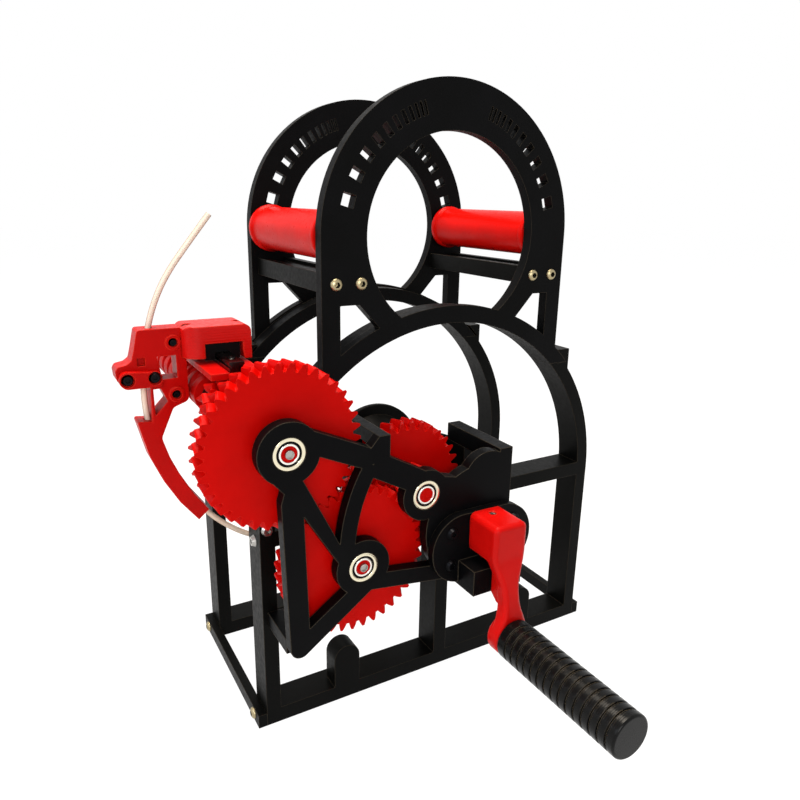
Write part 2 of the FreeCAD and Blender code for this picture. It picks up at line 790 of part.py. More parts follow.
def make_gears():
    width = s.gear_width
    front = s.front_row
    rear = s.rear_row
    shaft = s.shaft_radius
    collar = s.collar_radius
    bearing_front = s.bracket_front + 0.6
    bearing_back = s.bracket_front + s.bearing_width + s.side_play
    rear_end = s.bearing_width - 0.6
    snug = shaft + s.seat_gap
    pin = s.screw_shank + s.screw_gap
    crank_phase = 0.0
    idler_phase = mate_phase(s.pinion_teeth, crank_phase, s.idler_angle, s.idler_teeth)
    small_phase = idler_phase
    middle_phase = mate_phase(s.pinion_teeth, small_phase, s.middle_angle, s.middle_teeth)
    top_phase = mate_phase(s.middle_teeth, middle_phase, s.top_angle, s.top_teeth)
    drive_phase = top_phase
    screw_phase = mate_phase(s.drive_teeth, drive_phase, s.screw_angle, s.pinion_teeth)
    gear_part("crank_pinion", s.pinion_teeth, 1, crank_phase, rear, "0", "shaft_z",
              [(collar, rear + width, -s.side_play), (collar, bearing_back, rear)],
              [(snug, s.bracket_front, 2 * s.frame_depth)])
    gear_part("idler_gear", s.idler_teeth, -1, idler_phase, rear, "idler_x", "idler_z",
              [(shaft, bearing_front, rear_end), (collar, rear + width, -s.side_play)], [])
    gear_part("idler_pinion", s.pinion_teeth, -1, small_phase, front, "idler_x", "idler_z",
              [(collar, bearing_back, front), (collar, front + width, rear)],
              [(snug, s.bracket_front, rear)])
    gear_part("middle_gear", s.middle_teeth, 1, middle_phase, front, "middle_x", "middle_z",
              [(shaft, bearing_front, rear_end), (collar, bearing_back, front),
               (collar, front + width, -s.side_play)],
              [(pin, bearing_front, front)])
    gear_part("top_gear", s.top_teeth, -1, top_phase, front, "top_x", "top_z",
              [(shaft, bearing_front, rear_end), (collar, bearing_back, front)],
              [(pin, bearing_front, front)])
    gear_part("drive_gear", s.drive_teeth, 1, drive_phase, rear, "top_x", "top_z",
              [(collar, rear + width, -s.side_play), (collar, front + width, rear)],
              [(snug, s.bracket_front, s.frame_depth)])
    gear_part("screw_pinion", s.pinion_teeth, -1, screw_phase, rear, "screw_x", "screw_z",
              [(collar, rear + width, -s.side_play)],
              [(snug, s.bracket_front, s.frame_depth)])


def make_gear_fittings():
    """Bearings on both ends of each gear shaft, and the screws in two shaft ends."""
    front = [bearing(x, "bracket_front", z)
             for x, z in (("top_x", "top_z"), ("middle_x", "middle_z"), ("idler_x", "idler_z"))]
    rear = [bearing(x, "0", z)
            for x, z in (("top_x", "top_z"), ("middle_x", "middle_z"), ("idler_x", "idler_z"))]
    crank = [bearing("0", "bracket_front", "shaft_z"), bearing("0", "0", "shaft_z"),
             bearing("0", "far_front", "shaft_z")]
    finish(group(*front), "front_gear_bearings")
    finish(group(*rear), "rear_gear_bearings")
    finish(group(*crank), "crank_shaft_bearings")
    for x, z, name in (("top_x", "top_z", "top_gear_screw"), ("middle_x", "middle_z", "middle_gear_screw")):
        end_screw = screw_at(x, "bracket_front + 0.6", z, TOWARDS_Y[-1], "7", "small_head + 0.2",
                             "small_head_height")
        finish(end_screw, name)


# Gearbox bracket

def ring_hull(a, b, radius_a, radius_b):
    """Four corners of a bar that touches two circles."""
    (ax, az), (bx, bz) = a, b
    length = math.hypot(bx - ax, bz - az)
    nx = -(bz - az) / length
    nz = (bx - ax) / length
    return [(ax + nx * radius_a, az + nz * radius_a), (bx + nx * radius_b, bz + nz * radius_b),
            (bx - nx * radius_b, bz - nz * radius_b), (ax - nx * radius_a, az - nz * radius_a)]


def bowed_bar(start, end, rise, width, y, depth):
    """A bar bent along an arc that bows to the left of its run from start to end."""
    (ax, az), (bx, bz) = start, end
    chord = math.hypot(bx - ax, bz - az)
    nx = -(bz - az) / chord
    nz = (bx - ax) / chord
    radius = (chord ** 2 / 4 + rise ** 2) / (2 * rise)
    x = repr((ax + bx) / 2 - nx * (radius - rise))
    z = repr((az + bz) / 2 - nz * (radius - rise))
    ring = cut(rod(x, y, z, repr(radius + width / 2), depth), rod(x, y, z, repr(radius - width / 2), depth))
    out = rise + width
    window = slab([(ax + nx * out, az + nz * out), (bx + nx * out, bz + nz * out),
                   (bx - nx * width, bz - nz * width), (ax - nx * width, az - nz * width)], y, depth)
    return common(ring, window)


def make_bracket():
    front = "bracket_front"
    thick = "bracket_thickness"
    top = (s.top_x, s.top_z)
    middle = (s.middle_x, s.middle_z)
    idler = (s.idler_x, s.idler_z)
    elbow = (s.left_bar_right - s.left_bar_width / 2 - 6, s.left_bar_top - 14)
    half = s.arm_width / 2
    leg_x = s.leg_left + s.leg_width / 2
    fork = (top[0] - 3.1, top[1] - 19.1)
    crotch = (middle[0] - 31.7, middle[1] + 35.5)
    leg_foot = s.leg_bottom + half - 1.25
    crank_corner = (s.plate_right - s.shoulder_radius, s.plate_top - s.shoulder_radius)
    low_right = (-20.0, s.shaft_z - 25)
    solids = [
        rod("top_x", front, "top_z", "top_boss_radius", thick),
        rod("middle_x", front, "middle_z", "middle_boss_radius", thick),
        rod("idler_x", front, "idler_z", "idler_boss_radius", thick),
        cut(rod("0", front, "shaft_z", "crank_disc_radius", thick),
            box("plate_right", front, "shaft_z - crank_disc_radius", "crank_disc_radius", thick,
                "2 * crank_disc_radius")),
        slab(ring_hull((top[0] + 2, top[1] + 8), (elbow[0], elbow[1] + 2), half - 1, half - 1), front, thick),
        slab(ring_hull(elbow, (idler[0], idler[1] + 6), half, half), front, thick),
        slab([(idler[0] - 4, idler[1] + 12), crank_corner, (s.plate_right, s.shaft_z),
              (0, s.shaft_z - 20), (idler[0], idler[1] - 8)], front, thick),
        rod(repr(crank_corner[0]), front, repr(crank_corner[1]), "shoulder_radius", thick),
        box("plate_right - crossbar_width", front, "shaft_z", "crossbar_width", thick,
            "plate_top - shaft_z"),
        box("plate_right - shoulder_radius", front, "shaft_z", "shoulder_radius", thick,
            "plate_top - shoulder_radius / 2 - shaft_z"),
        bowed_bar((middle[0] - 9, middle[1] + 8), (elbow[0] - 1.2, elbow[1]), 3.5, s.strut_width + 0.6,
                  front, thick),
        slab([(top[0] - 14, top[1] - 6.5), fork, crotch, (middle[0] - 9.4, middle[1] - 1.5),
              (middle[0] - 2, middle[1] + 9), (middle[0] - 13.1, middle[1] + 16.3),
              (top[0] + 4.3, top[1] - 9.9)], front, thick),
        slab([fork, (s.leg_left - 2.6, fork[1] - 5.2), (s.leg_left, leg_foot),
              (s.leg_left + s.leg_width, leg_foot), crotch, (top[0] + 2, top[1] - 14)], front, thick),
        rod(repr(leg_x), front, "leg_bottom + leg_width / 2", "leg_width / 2", thick),
        slab(ring_hull((leg_x, s.leg_bottom + s.leg_width / 2), (middle[0] + 2, middle[1] - 10),
                       s.leg_width / 2, half - 1.5), front, thick),
        slab(ring_hull((middle[0], middle[1] - 9), low_right, half - 2, half - 2), front, thick),
        box("plate_right - crossbar_width", "bracket_back", "plate_top - crossbar_height",
            "crossbar_width", "frame_depth - bracket_back", "crossbar_height"),
        box("left_bar_right - left_bar_width", front, "left_bar_top - left_bar_height",
            "left_bar_width", "rear_boss_depth - (%s)" % front, "left_bar_height"),
        slab([(s.left_bar_right - s.left_bar_width, s.left_bar_top),
              (s.left_bar_right, s.left_bar_top), (s.left_bar_right, elbow[1]),
              (s.left_bar_right - s.left_bar_width - 12, elbow[1])], front, thick),
        box("leg_left", "bracket_back", "leg_bottom", "leg_width - 2", "-bracket_back", "foot_bar_height"),
    ]
    tools = []
    for x, z in (("top_x", "top_z"), ("middle_x", "middle_z"), ("idler_x", "idler_z"), ("0", "shaft_z")):
        tools += bearing_seat(x, z, front, thick)
    finish(cut(fuse(*solids), *tools), "gearbox_bracket")


# Crank, grip and spool shaft

def make_crank_shaft():
    shaft = rod("0", "crank_front + 4", "shaft_z", "shaft_radius", "far_front + bearing_width - crank_front - 4")
    finish(shaft, "spool_shaft")


def eased(solid, radius):
    """Round the edges between the faces that look forwards and the walls round them."""
    doc.recompute()
    edges = []
    for number, edge in enumerate(solid.Shape.Edges, 1):
        point = edge.valueAt((edge.FirstParameter + edge.LastParameter) / 2)
        forwards = []
        for face in solid.Shape.ancestorsOfType(edge, Part.Face):
            forwards.append(-face.normalAt(*face.Surface.parameter(point)).y)
        if max(forwards) > 0.9 and abs(min(forwards, key=abs)) < 0.2:
            edges.append((number, radius, radius))
    result = doc.addObject("Part::Fillet", "Eased")
    result.Base = solid
    result.Edges = edges
    return result


def make_crank():
    hub = s.crank_hub_half
    waist = s.crank_arm_half
    z = s.shaft_z
    knuckle = s.grip_z
    front = s.crank_front
    lean = s.crank_boss_front
    thick = s.crank_arm_depth
    side = [(hub, z + hub, 3.5), (hub, z - 9, 20), (waist, z - 24, 30), (waist, knuckle + 17, 25),
            (10.4, knuckle + 3.5)]
    outline = side + [(-corner[0],) + corner[1:] for corner in reversed(side)]
    face = plate_body("CrankFace", [outline], "crank_boss_front - 1", "60")
    profile = [
        (front, z + hub), (front + s.crank_hub_depth, z + hub), (front + s.crank_hub_depth, z - hub),
        (front + thick, z - hub, 2), (lean + thick, knuckle + 10, 8), (lean + thick, knuckle + 3.5),
        (lean, knuckle + 3.5), (lean, knuckle + 12, 12), (front, z - hub + 2, 12),
    ]
    depth = plate_body("CrankSide", [profile], "-crank_hub_half - 1", "2 * (crank_hub_half + 1)")
    depth.Placement = Placement(Vector(), Rotation(Vector(0, 0, 1), 90))
    arm = eased(common(face, depth), s.crank_edge)
    spine = [(front + 2, z - hub + 1), (front + 8.5, z - hub + 1), (front + 8.5, z - 31),
             (front + 3.5, z - 35), (front, z - 35)]
    rib = plate_body("CrankRib", [spine], "-crank_arm_half + 0.3", "2 * (crank_arm_half - 0.3)")
    rib.Placement = Placement(Vector(), Rotation(Vector(0, 0, 1), 90))
    boss = turned_body("Knuckle", [(0, 0), (0, s.crank_boss_radius, s.crank_edge),
                                   (s.crank_boss_depth, s.crank_boss_radius, 1.0), (s.crank_boss_depth, 0)])
    place(boss, "0", "crank_boss_front", "grip_z")
    socket = rod("0", "crank_front + 4", "shaft_z", "shaft_radius + seat_gap", "crank_hub_depth")
    bolt_hole = rod("0", "crank_boss_front", "grip_z", "grip_bolt_radius + seat_gap", "20")
    bolt_head = rod("0", "crank_boss_front + crank_boss_depth - 4", "grip_z", "5.2", "8")
    set_hole = hole_at("0", "crank_front + crank_hub_depth - 6", "shaft_z + shaft_radius",
                       UPWARDS, "crank_hub_half", "screw_shank + 0.5")
    finish(cut(fuse(arm, rib, boss), socket, bolt_hole, bolt_head, set_hole), "crank")
    set_screw = rod("0", "crank_front + crank_hub_depth - 6", "shaft_z + shaft_radius + seat_gap",
                    "screw_shank + 0.5", "crank_hub_half - shaft_radius - 0.6", UPWARDS)
    key = doc.addObject("Part::Prism", "Key")
    key.Polygon = 6
    bind(key, Circumradius="1.2", Height="3")
    place(key, "0", "crank_front + crank_hub_depth - 6", "shaft_z + crank_hub_half - 2.5")
    finish(cut(set_screw, key), "crank_set_screw")


def make_housing():
    """The black plate behind the crank and the guard block under its hub."""
    r = s.housing_corner
    half = s.housing_half
    outline = [(-half, s.housing_top, r), (half, s.housing_top, r), (half, s.housing_bottom, r),
               (-half, s.housing_bottom, r)]
    plate = plate_body("Housing", [outline], "bracket_front - housing_depth", "housing_depth")
    guard = box("-guard_half", "bracket_front - housing_depth - guard_depth", "guard_bottom",
                "2 * guard_half", "guard_depth + housing_depth", "guard_top - guard_bottom")
    bore = rod("0", "bracket_front - housing_depth", "shaft_z", "housing_bore", "housing_depth")
    holes = []
    screws = []
    for x, z in ((-21, 0), (21, 0), (-21, -19), (21, -19)):
        height = "shaft_z + (%r)" % z
        front = "bracket_front - housing_depth"
        holes.append(hole_at(repr(x), front, height, TOWARDS_Y[1], "housing_depth"))
        screws.append(screw_at(repr(x), front, height, TOWARDS_Y[-1], "housing_depth - 0.5"))
    finish(cut(fuse(plate, guard), bore, *holes), "crank_housing")
    finish(group(*screws), "housing_screws")


def make_grip():
    length = s.grip_length
    radius = s.grip_radius
    bore = s.grip_bolt_radius + s.running_gap
    profile = [(0, bore), (0, radius, 0.6)]
    start = 2.0
    groove = s.grip_rib_pitch - s.grip_rib_land
    for rib in range(int(s.grip_ribs)):
        y = start + rib * s.grip_rib_pitch + s.grip_rib_land
        profile += [(y, radius, 0.3), (y + 0.3, radius - s.grip_groove_depth),
                    (y + groove - 0.3, radius - s.grip_groove_depth), (y + groove, radius, 0.3)]
    profile += [(length, radius, 1.2), (length, 0), (s.grip_bolt_engaged + 1.0, 0),
                (s.grip_bolt_engaged + 1.0, bore)]
    grip = turned_body("Grip", profile)
    grip.Placement = Placement(Vector(), Rotation(Vector(0, 0, 1), 180))
    finish(place(grip, "0", "crank_boss_front - 0.3", "grip_z"), "grip")
    grip_end = "crank_boss_front + crank_boss_depth"
    shank = rod("0", grip_end, "grip_z", "grip_bolt_radius",
                "%s - crank_boss_front + grip_bolt_engaged" % grip_end, TOWARDS_Y[-1])
    head = rod("0", "%s - 4" % grip_end, "grip_z", "5.1", "4")
    key = doc.addObject("Part::Prism", "Key")
    key.Polygon = 6
    bind(key, Circumradius="2.9", Height="2.5")
    place(key, "0", grip_end, "grip_z", TOWARDS_Y[-1])
    finish(cut(fuse(shank, head), key), "grip_bolt")


def make_cones():
    """Stepped cones that centre the empty spool on the shaft."""
    flange = s.cone_flange_width
    profile = [
        (0, s.shaft_radius + s.seat_gap), (0, s.cone_flange_radius, 1.0),
        (flange, s.cone_flange_radius, 1.0), (flange, s.cone_base_radius),
        (flange + s.cone_depth, s.cone_tip_radius, 1.5), (flange + s.cone_depth, s.shaft_radius + s.seat_gap),
    ]
    near = turned_body("Cone", profile)
    finish(place(near, "0", "frame_depth + cone_frame_gap", "shaft_z"), "near_spool_cone")
    far = turned_body("Cone", profile)
    far.Placement = Placement(Vector(), Rotation(Vector(0, 0, 1), 180))
    finish(place(far, "0", "far_front - cone_frame_gap", "shaft_z"), "far_spool_cone")


# Traverse

def make_traverse():
    drum_start = s.rear_boss_depth + s.screw_end_gap
    drum_end = s.far_back - s.rear_boss_depth - s.screw_end_gap
    shaft = s.shaft_radius
    profile = [
        (s.rear_row, 0), (s.rear_row, shaft), (drum_start, shaft), (drum_start, s.screw_radius, 0.6),
        (drum_end, s.screw_radius, 0.6), (drum_end, shaft), (s.far_back, shaft), (s.far_back, 0),
    ]
    finish(place(turned_body("TraverseScrew", profile), "screw_x", "0", "screw_z"), "traverse_screw")
    left = "rail_x - beam_width / 2"
    start = "-beam_overhang"
    run = "far_front + beam_overhang"
    beam = box(left, start, "beam_bottom", "beam_width", "far_back + beam_overhang", "beam_height")
    rail = box("rail_x - rail_width / 2", start, "rail_bottom", "rail_width", run, "rail_height")
    length = s.far_front + s.beam_overhang
    count = int(length // s.rail_screw_pitch)
    first = (length - (count - 1) * s.rail_screw_pitch) / 2 - s.beam_overhang
    rail_tools = []
    beam_tools = []
    screws = []
    for i in range(count):
        y = repr(first + i * s.rail_screw_pitch)
        rail_tools.append(rod("rail_x", y, "rail_bottom", "small_shank + screw_gap", "rail_height", UPWARDS))
        rail_tools.append(rod("rail_x", y, "rail_top - small_head_height - 0.6", "small_head + screw_gap",
                              "small_head_height + 0.6", UPWARDS))
        beam_tools.append(rod("rail_x", y, "beam_bottom", "small_shank + screw_gap", "beam_height", UPWARDS))
        screws.append(screw_at("rail_x", y, "rail_top - small_head_height - 0.6", UPWARDS,
                               "rail_height - small_head_height - 0.6 + beam_height - 0.4",
                               "small_head", "small_head_height", "small_shank"))
    for side in (-1, 1):
        side_x = "rail_x + %d * (rail_width / 2)" % side
        rail_tools.append(rod(side_x, start, "rail_bottom + rail_height * 0.55", "0.7", run))
    finish(cut(beam, *beam_tools), "rail_beam")
    finish(cut(rail, *rail_tools), "linear_rail")
    finish(group(*screws), "rail_screws")


def make_carriage():
    block_front = "carriage_front + (carriage_length - block_length) / 2"
    block_bottom = "rail_bottom + block_lift"
    block_left = "rail_x - block_width / 2"
    block = box(block_left, block_front, block_bottom, "block_width", "block_length",
                "carriage_roof - (%s)" % block_bottom)
    channel = box("rail_x - rail_width / 2 - slide_gap", block_front, block_bottom,
                  "rail_width + 2 * slide_gap", "block_length", "rail_top + slide_gap - (%s)" % block_bottom)
    finish(cut(block, channel), "rail_block")
    left = s.carriage_left
    right = s.rail_x + s.carriage_width / 2
    inner = s.block_width / 2 + s.seat_gap
    outline = [
        (left, s.carriage_bottom), (left, s.carriage_top, 3.5), (right, s.carriage_top, 3.5),
        (right, s.carriage_bottom - 1.5), (right - 3.6, s.carriage_bottom - 1.5),
        (s.rail_x + inner + 1.2, s.carriage_bottom + 2), (s.rail_x + inner + 1.2, s.carriage_roof),
        (s.rail_x - inner, s.carriage_roof), (s.rail_x - inner, s.carriage_bottom),
    ]
    shell = plate_body("Cover", [outline], "carriage_front", "carriage_length")
    bend = s.cover_corner
    rounding = cut(box(repr(left - 1), "carriage_front - 1", "carriage_bottom - 1", repr(bend + 1),
                       repr(bend + 1), "carriage_top - carriage_bottom + 2"),
                   rod(repr(left + bend), "carriage_front + cover_corner", "carriage_bottom - 1",
                       "cover_corner", "carriage_top - carriage_bottom + 2", UPWARDS))
    lug = box(repr(left - s.carriage_lug_reach), "arm_front + arm_depth",
              "arm_upper_screw_z - 6", repr(s.carriage_lug_reach + 2),
              "carriage_front + carriage_length - arm_front - arm_depth", "12")
    holes = []
    screws = []
    for x in (left + 3.4, right - 3.4):
        y = "carriage_front + carriage_length / 2"
        seat = "carriage_top - small_head_height - 0.6"
        holes.append(hole_at(repr(x), y, "carriage_top", DOWNWARDS, "7.2"))
        holes.append(rod(repr(x), y, seat, "small_head + 0.3", "small_head_height + 0.6", UPWARDS))
        screws.append(screw_at(repr(x), y, seat, UPWARDS, "4.6", "small_head", "small_head_height"))
    arm_hole = hole_at("arm_screw_x", "arm_front + arm_depth", "arm_upper_screw_z", TOWARDS_Y[1], "7")
    finish(cut(fuse(shell, lug), arm_hole, rounding, *holes), "carriage_cover")
    finish(group(*screws), "cover_screws")


def make_guide_arm():
    """The flat arm that leads the strand down past the gears, with its clamp plate."""
    left = s.carriage_left - 0.1
    under = s.carriage_bottom - 0.1
    x = s.strand_x
    top = s.arm_top
    web_right = s.arm_screw_x + 5.7
    low = s.arm_lower_screw_z
    outline = [
        (x - 1.4, top, 1.5), (left, top), (left, under), (web_right, under),
        (web_right, low - 3.6, 3), (s.arm_screw_x - 2.0, low - 6.4, 3), (x + 5.8, 173.2, 4),
        (x + 8.8, 162.8), (x + 13.1, 152.6), (x + 19.0, 141.4), (x + 26.0, 131.2),
        (x + 20.6, 126.6), (x + 12.0, 138.1), (x + 5.2, 150.4), (x - 0.3, 163.8),
        (x - 4.8, 182.8, 1), (x + 2.2, 182.0), (x + 2.6, s.clamp_bottom), (x - 9.3, s.clamp_bottom, 3),
        (x - 11.9, 203.8, 3), (x - 12.3, 207.8, 2), (x - 11.3, 209.9, 2), (x - 7.1, 210.7, 2),
        (x - 4.8, 212.4, 2), (x - 3.5, 217.3),
    ]
    window = [(x + 6.4, 213.4), (x + 15.2, 213.4), (x + 15.3, 202.3), (x + 8.4, 202.1)]
    triangle = [(x + 3.7, 197.8), (x + 7.1, 197.9, 1), (x + 10.0, 191.2, 1), (x + 3.8, 184.7)]
    arm = plate_body("Arm", [outline, window, triangle], "arm_front", "arm_depth")
    recess = box(repr(x - 2.5), "arm_front", "clamp_top + 1.4", "3.6", "2.5", "3.8")
    boss_front = "arm_front - arm_boss_height"
    head_back = "arm_front - arm_boss_height + small_head_height"
    bosses = [rod("arm_screw_x", boss_front, z, "arm_boss_radius", "arm_boss_height + 1")
              for z in ("arm_upper_screw_z", "arm_lower_screw_z")]
    holes = [
        hole_at("arm_screw_x", "arm_front", "arm_upper_screw_z", TOWARDS_Y[1], "arm_depth"),
        hole_at("arm_screw_x", "arm_front", "arm_lower_screw_z", TOWARDS_Y[1], "arm_depth"),
        rod("arm_screw_x", boss_front, "arm_upper_screw_z", "small_head + 0.3", "small_head_height"),
        rod("arm_screw_x", boss_front, "arm_lower_screw_z", "small_head + 0.3", "small_head_height"),
        rod("arm_screw_x + 1.9", "strand_y", "screw_z", "2.05", "8", TOWARDS_X[1]),
        strand_tube("strand_bore", "Bore"),
    ]
    clamp_holes = []
    clamp_screws = []
    for screw_x in ("clamp_left + 4.2", "clamp_right - 3.2"):
        z = "(clamp_bottom + clamp_top) / 2"
        holes.append(hole_at(screw_x, "arm_front", z, TOWARDS_Y[1], "8"))
        clamp_holes.append(hole_at(screw_x, "arm_front - clamp_thickness", z, TOWARDS_Y[1],
                                   "clamp_thickness"))
        clamp_holes.append(rod(screw_x, "arm_front - clamp_thickness", z, "clamp_head + 0.3", "2"))
        clamp_screws.append(screw_at(screw_x, "arm_front - clamp_thickness + 2", z, TOWARDS_Y[-1],
                                     "clamp_thickness - 2 + 7", "clamp_head"))
    finish(cut(fuse(arm, *bosses), recess, *holes), "guide_arm")
    clamp = [
        (s.clamp_left, s.clamp_bottom + 3, 3.5), (s.clamp_left + 3, s.clamp_bottom, 3.5),
        (s.clamp_right, s.clamp_bottom, 1.5), (s.clamp_right, s.clamp_top - 1.5, 2.5),
        (s.clamp_left + 1.5, s.clamp_top, 3.5),
    ]
    plate = plate_body("Clamp", [clamp], "arm_front - clamp_thickness", "clamp_thickness")
    finish(cut(plate, *clamp_holes), "clamp_plate")
    finish(group(*clamp_screws), "clamp_screws")
    arm_screws = [
        screw_at("arm_screw_x", head_back, "arm_upper_screw_z", TOWARDS_Y[-1], "arm_depth + 1.9",
                 "small_head", "small_head_height"),
        screw_at("arm_screw_x", head_back, "arm_lower_screw_z", TOWARDS_Y[-1], "arm_depth - 1.6",
                 "small_head", "small_head_height"),
    ]
    finish(group(*arm_screws), "arm_screws")
    tip = s.screw_x - s.screw_radius - s.follower_gap
    tip_base = s.arm_screw_x + 2.0
    follower = rod(repr(tip_base), "strand_y", "screw_z", "2.0", repr(tip - tip_base),
                   TOWARDS_X[1])
    finish(follower, "follower_pin")


# White strand: one round section along runs joined by arcs

def strand_route():
    """Corner points of the strand: in at the top, through the arm and out at its foot."""
    x = s.strand_x
    y = s.strand_y
    return [
        (x + 36.2, y, 277.9), (x + 25.3, y, 264.5), (x + 14.4, y, 250.3), (x + 7.6, y, 236.9),
        (x + 3.2, y, 222.0), (x + 0.6, y, 206.0), (x + 0.0, y, 190.0), (x + 1.6, y, 175.0),
        (x + 6.0, y, 160.5), (x + 12.9, y, 146.6), (x + 21.5, y, 134.0), (x + 28.6, y + 0.4, 124.6),
        (x + 38.0, y + 1.6, 115.4), (x + 48.6, y + 3.4, 107.4), (x + 60.0, y + 5.6, 101.2),
    ]


def swept(points, radius, name):
    """A round solid along straight runs joined by tangent arcs."""
    corners = [Vector(*p) for p in points]
    edges = []
    radii = []
    start = corners[0]
    for i in range(1, len(corners) - 1):
        back = corners[i - 1] - corners[i]
        ahead = corners[i + 1] - corners[i]
        turn = math.pi - back.getAngle(ahead)
        trim = 0.45 * min(back.Length, ahead.Length)
        bend = trim / math.tan(turn / 2)
        radii.append(round(bend, 1))
        back.normalize()
        ahead.normalize()
        inward = back + ahead
        inward.normalize()
        first = corners[i] + back * trim
        last = corners[i] + ahead * trim
        middle = corners[i] + inward * (bend / math.cos(turn / 2) - bend)
        edges.append(Part.LineSegment(start, first).toShape())
        edges.append(Part.Arc(first, middle, last).toShape())
        start = last
    edges.append(Part.LineSegment(start, corners[-1]).toShape())
    path = Part.Wire(edges)
    section = Part.Wire(Part.makeCircle(radius, corners[0], corners[1] - corners[0]))
    solid = path.makePipeShell([section], True, False)
    expected = math.pi * radius ** 2 * path.Length
    print(name, "bend radii", radii, "length", round(path.Length, 2),
          "volume ratio", round(solid.Volume / expected, 4))
    return solid


def strand_tube(radius, name):
    feature = doc.addObject("Part::Feature", name)
    feature.Shape = swept(strand_route(), getattr(s, radius), name)
    return feature


def make_strand():
    finish(strand_tube("strand_radius", "Strand"), "strand")


def check_and_write():
    """Stop on any failed object, then write one STEP file for each sub-part."""
    for item in doc.Objects:
        if "Invalid" in item.State or "Error" in item.State:
            raise RuntimeError("failed object: %s (%s)" % (item.Label, item.TypeId))
    for item in finished:
        if item.Shape.isNull() or not item.Shape.isValid() or not item.Shape.Solids:
            raise RuntimeError("bad shape: " + item.Label)
    os.makedirs("parts", exist_ok=True)
    for item in finished:
        item.Shape.exportStep(os.path.join("parts", item.Label + ".step"))
        extent = item.Shape.BoundBox
        print("%-22s solids %2d  volume %9.1f  x %7.1f %7.1f  y %7.1f %7.1f  z %6.1f %6.1f" % (
            item.Label, len(item.Shape.Solids), item.Shape.Volume, extent.XMin, extent.XMax,
            extent.YMin, extent.YMax, extent.ZMin, extent.ZMax))


def centre_footprint():
    """Move the origin to the middle of the whole model's footprint."""
    whole = FreeCAD.BoundBox()
    for item in finished:
        whole.add(item.Shape.optimalBoundingBox(False, False))
    sheet.set("shift_x", repr(-(whole.XMin + whole.XMax) / 2))
    sheet.set("shift_y", repr(-(whole.YMin + whole.YMax) / 2))
    doc.recompute()
    print("shift", sheet.get("shift_x"), sheet.get("shift_y"), "lowest", whole.ZMin)


make_near_lower_frame()
make_far_lower_frame()
make_rings()
make_ties()
make_rollers()
make_end_bars()
make_gears()
make_gear_fittings()
make_bracket()
make_crank_shaft()
make_crank()
make_housing()
make_grip()
make_cones()
make_traverse()
make_carriage()
make_guide_arm()
make_strand()
doc.recompute()
centre_footprint()
check_and_write()
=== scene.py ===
import json
import math

import bmesh
import bpy
from mathutils import Matrix, Vector


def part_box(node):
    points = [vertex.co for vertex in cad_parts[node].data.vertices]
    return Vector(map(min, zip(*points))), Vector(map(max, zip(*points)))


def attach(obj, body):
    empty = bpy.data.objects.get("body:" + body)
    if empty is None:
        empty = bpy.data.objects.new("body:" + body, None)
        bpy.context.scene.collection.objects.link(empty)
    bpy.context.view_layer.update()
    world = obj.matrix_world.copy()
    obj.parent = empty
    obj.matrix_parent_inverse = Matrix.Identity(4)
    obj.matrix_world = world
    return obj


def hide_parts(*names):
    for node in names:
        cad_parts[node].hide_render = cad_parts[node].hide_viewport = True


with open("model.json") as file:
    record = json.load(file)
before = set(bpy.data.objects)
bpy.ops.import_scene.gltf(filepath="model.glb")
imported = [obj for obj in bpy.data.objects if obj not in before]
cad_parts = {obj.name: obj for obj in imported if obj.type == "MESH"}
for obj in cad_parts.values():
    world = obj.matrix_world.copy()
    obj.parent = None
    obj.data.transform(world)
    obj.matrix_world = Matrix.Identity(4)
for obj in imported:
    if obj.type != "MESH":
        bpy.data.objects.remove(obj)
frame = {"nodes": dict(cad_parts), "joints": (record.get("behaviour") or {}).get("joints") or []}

scene = bpy.context.scene
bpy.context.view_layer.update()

MM = 0.001
NODES = frame["nodes"]
AXES = {joint["child"]: Vector(joint["pos_m"]) for joint in frame["joints"] if joint["type"] == "hinge"}

# The spool shaft's axis and the frames' outer faces place everything that is written in
# millimetres below, as the model's own sizes are.
SHAFT = AXES["crank"]
FACE_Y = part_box("near_lower_frame")[0].y
BACK_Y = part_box("far_lower_frame")[1].y


def spot(x, y, z):
    """A point in metres from millimetres right of the shaft, behind the near face, above the table."""
    return Vector((SHAFT.x + x * MM, FACE_Y + y * MM, z * MM))


# Colours and shader nodes

def linear(code):
    """An sRGB hex colour as linear red, green, blue and alpha."""
    parts = [int(code[i:i + 2], 16) / 255 for i in (1, 3, 5)]
    return [c / 12.92 if c <= 0.04045 else ((c + 0.055) / 1.055) ** 2.4 for c in parts] + [1.0]


def add(tree, kind, sockets=(), **settings):
    """Add one node with its own settings, and its sockets' values or links."""
    made = tree.nodes.new(kind)
    for name, value in settings.items():
        setattr(made, name, value)
    for name, value in dict(sockets).items():
        if isinstance(value, bpy.types.NodeSocket):
            tree.links.new(value, made.inputs[name])
        else:
            made.inputs[name].default_value = value
    return made


def blank_material(name):
    """A new material with an empty node tree."""
    material = bpy.data.materials.new(name)
    material.use_nodes = True
    material.node_tree.nodes.clear()
    return material, material.node_tree


# The sizes of what varies over printed plastic: patches of colour and of gloss, and the
# print bed's grain
COLOUR_PATCH = 26.3 * MM
GLOSS_PATCH = 2.38 * MM
PEBBLE_GRAIN = 1.11 * MM

# How far the glossiest and the dullest patches stray from the plastic's roughness, and how
# strongly the layers and the pebbles bend the light
GLOSSIEST = -0.06
DULLEST = 0.08
LAYER_STRENGTH = 0.35
PEBBLE_STRENGTH = 0.5

# An edge is painted lighter as a highlight where its rounding has turned this far from the face,
# as the cosine of the angle between them, and fully at the second.
EDGE_HIGHLIGHT_STARTS = 0.97
EDGE_HIGHLIGHT_FULL = 0.8
EDGE_HIGHLIGHT_MOST = 0.7

# A face is one of the flat ones when its normal runs this nearly along the winder's depth.
FLAT_FACE = 0.95


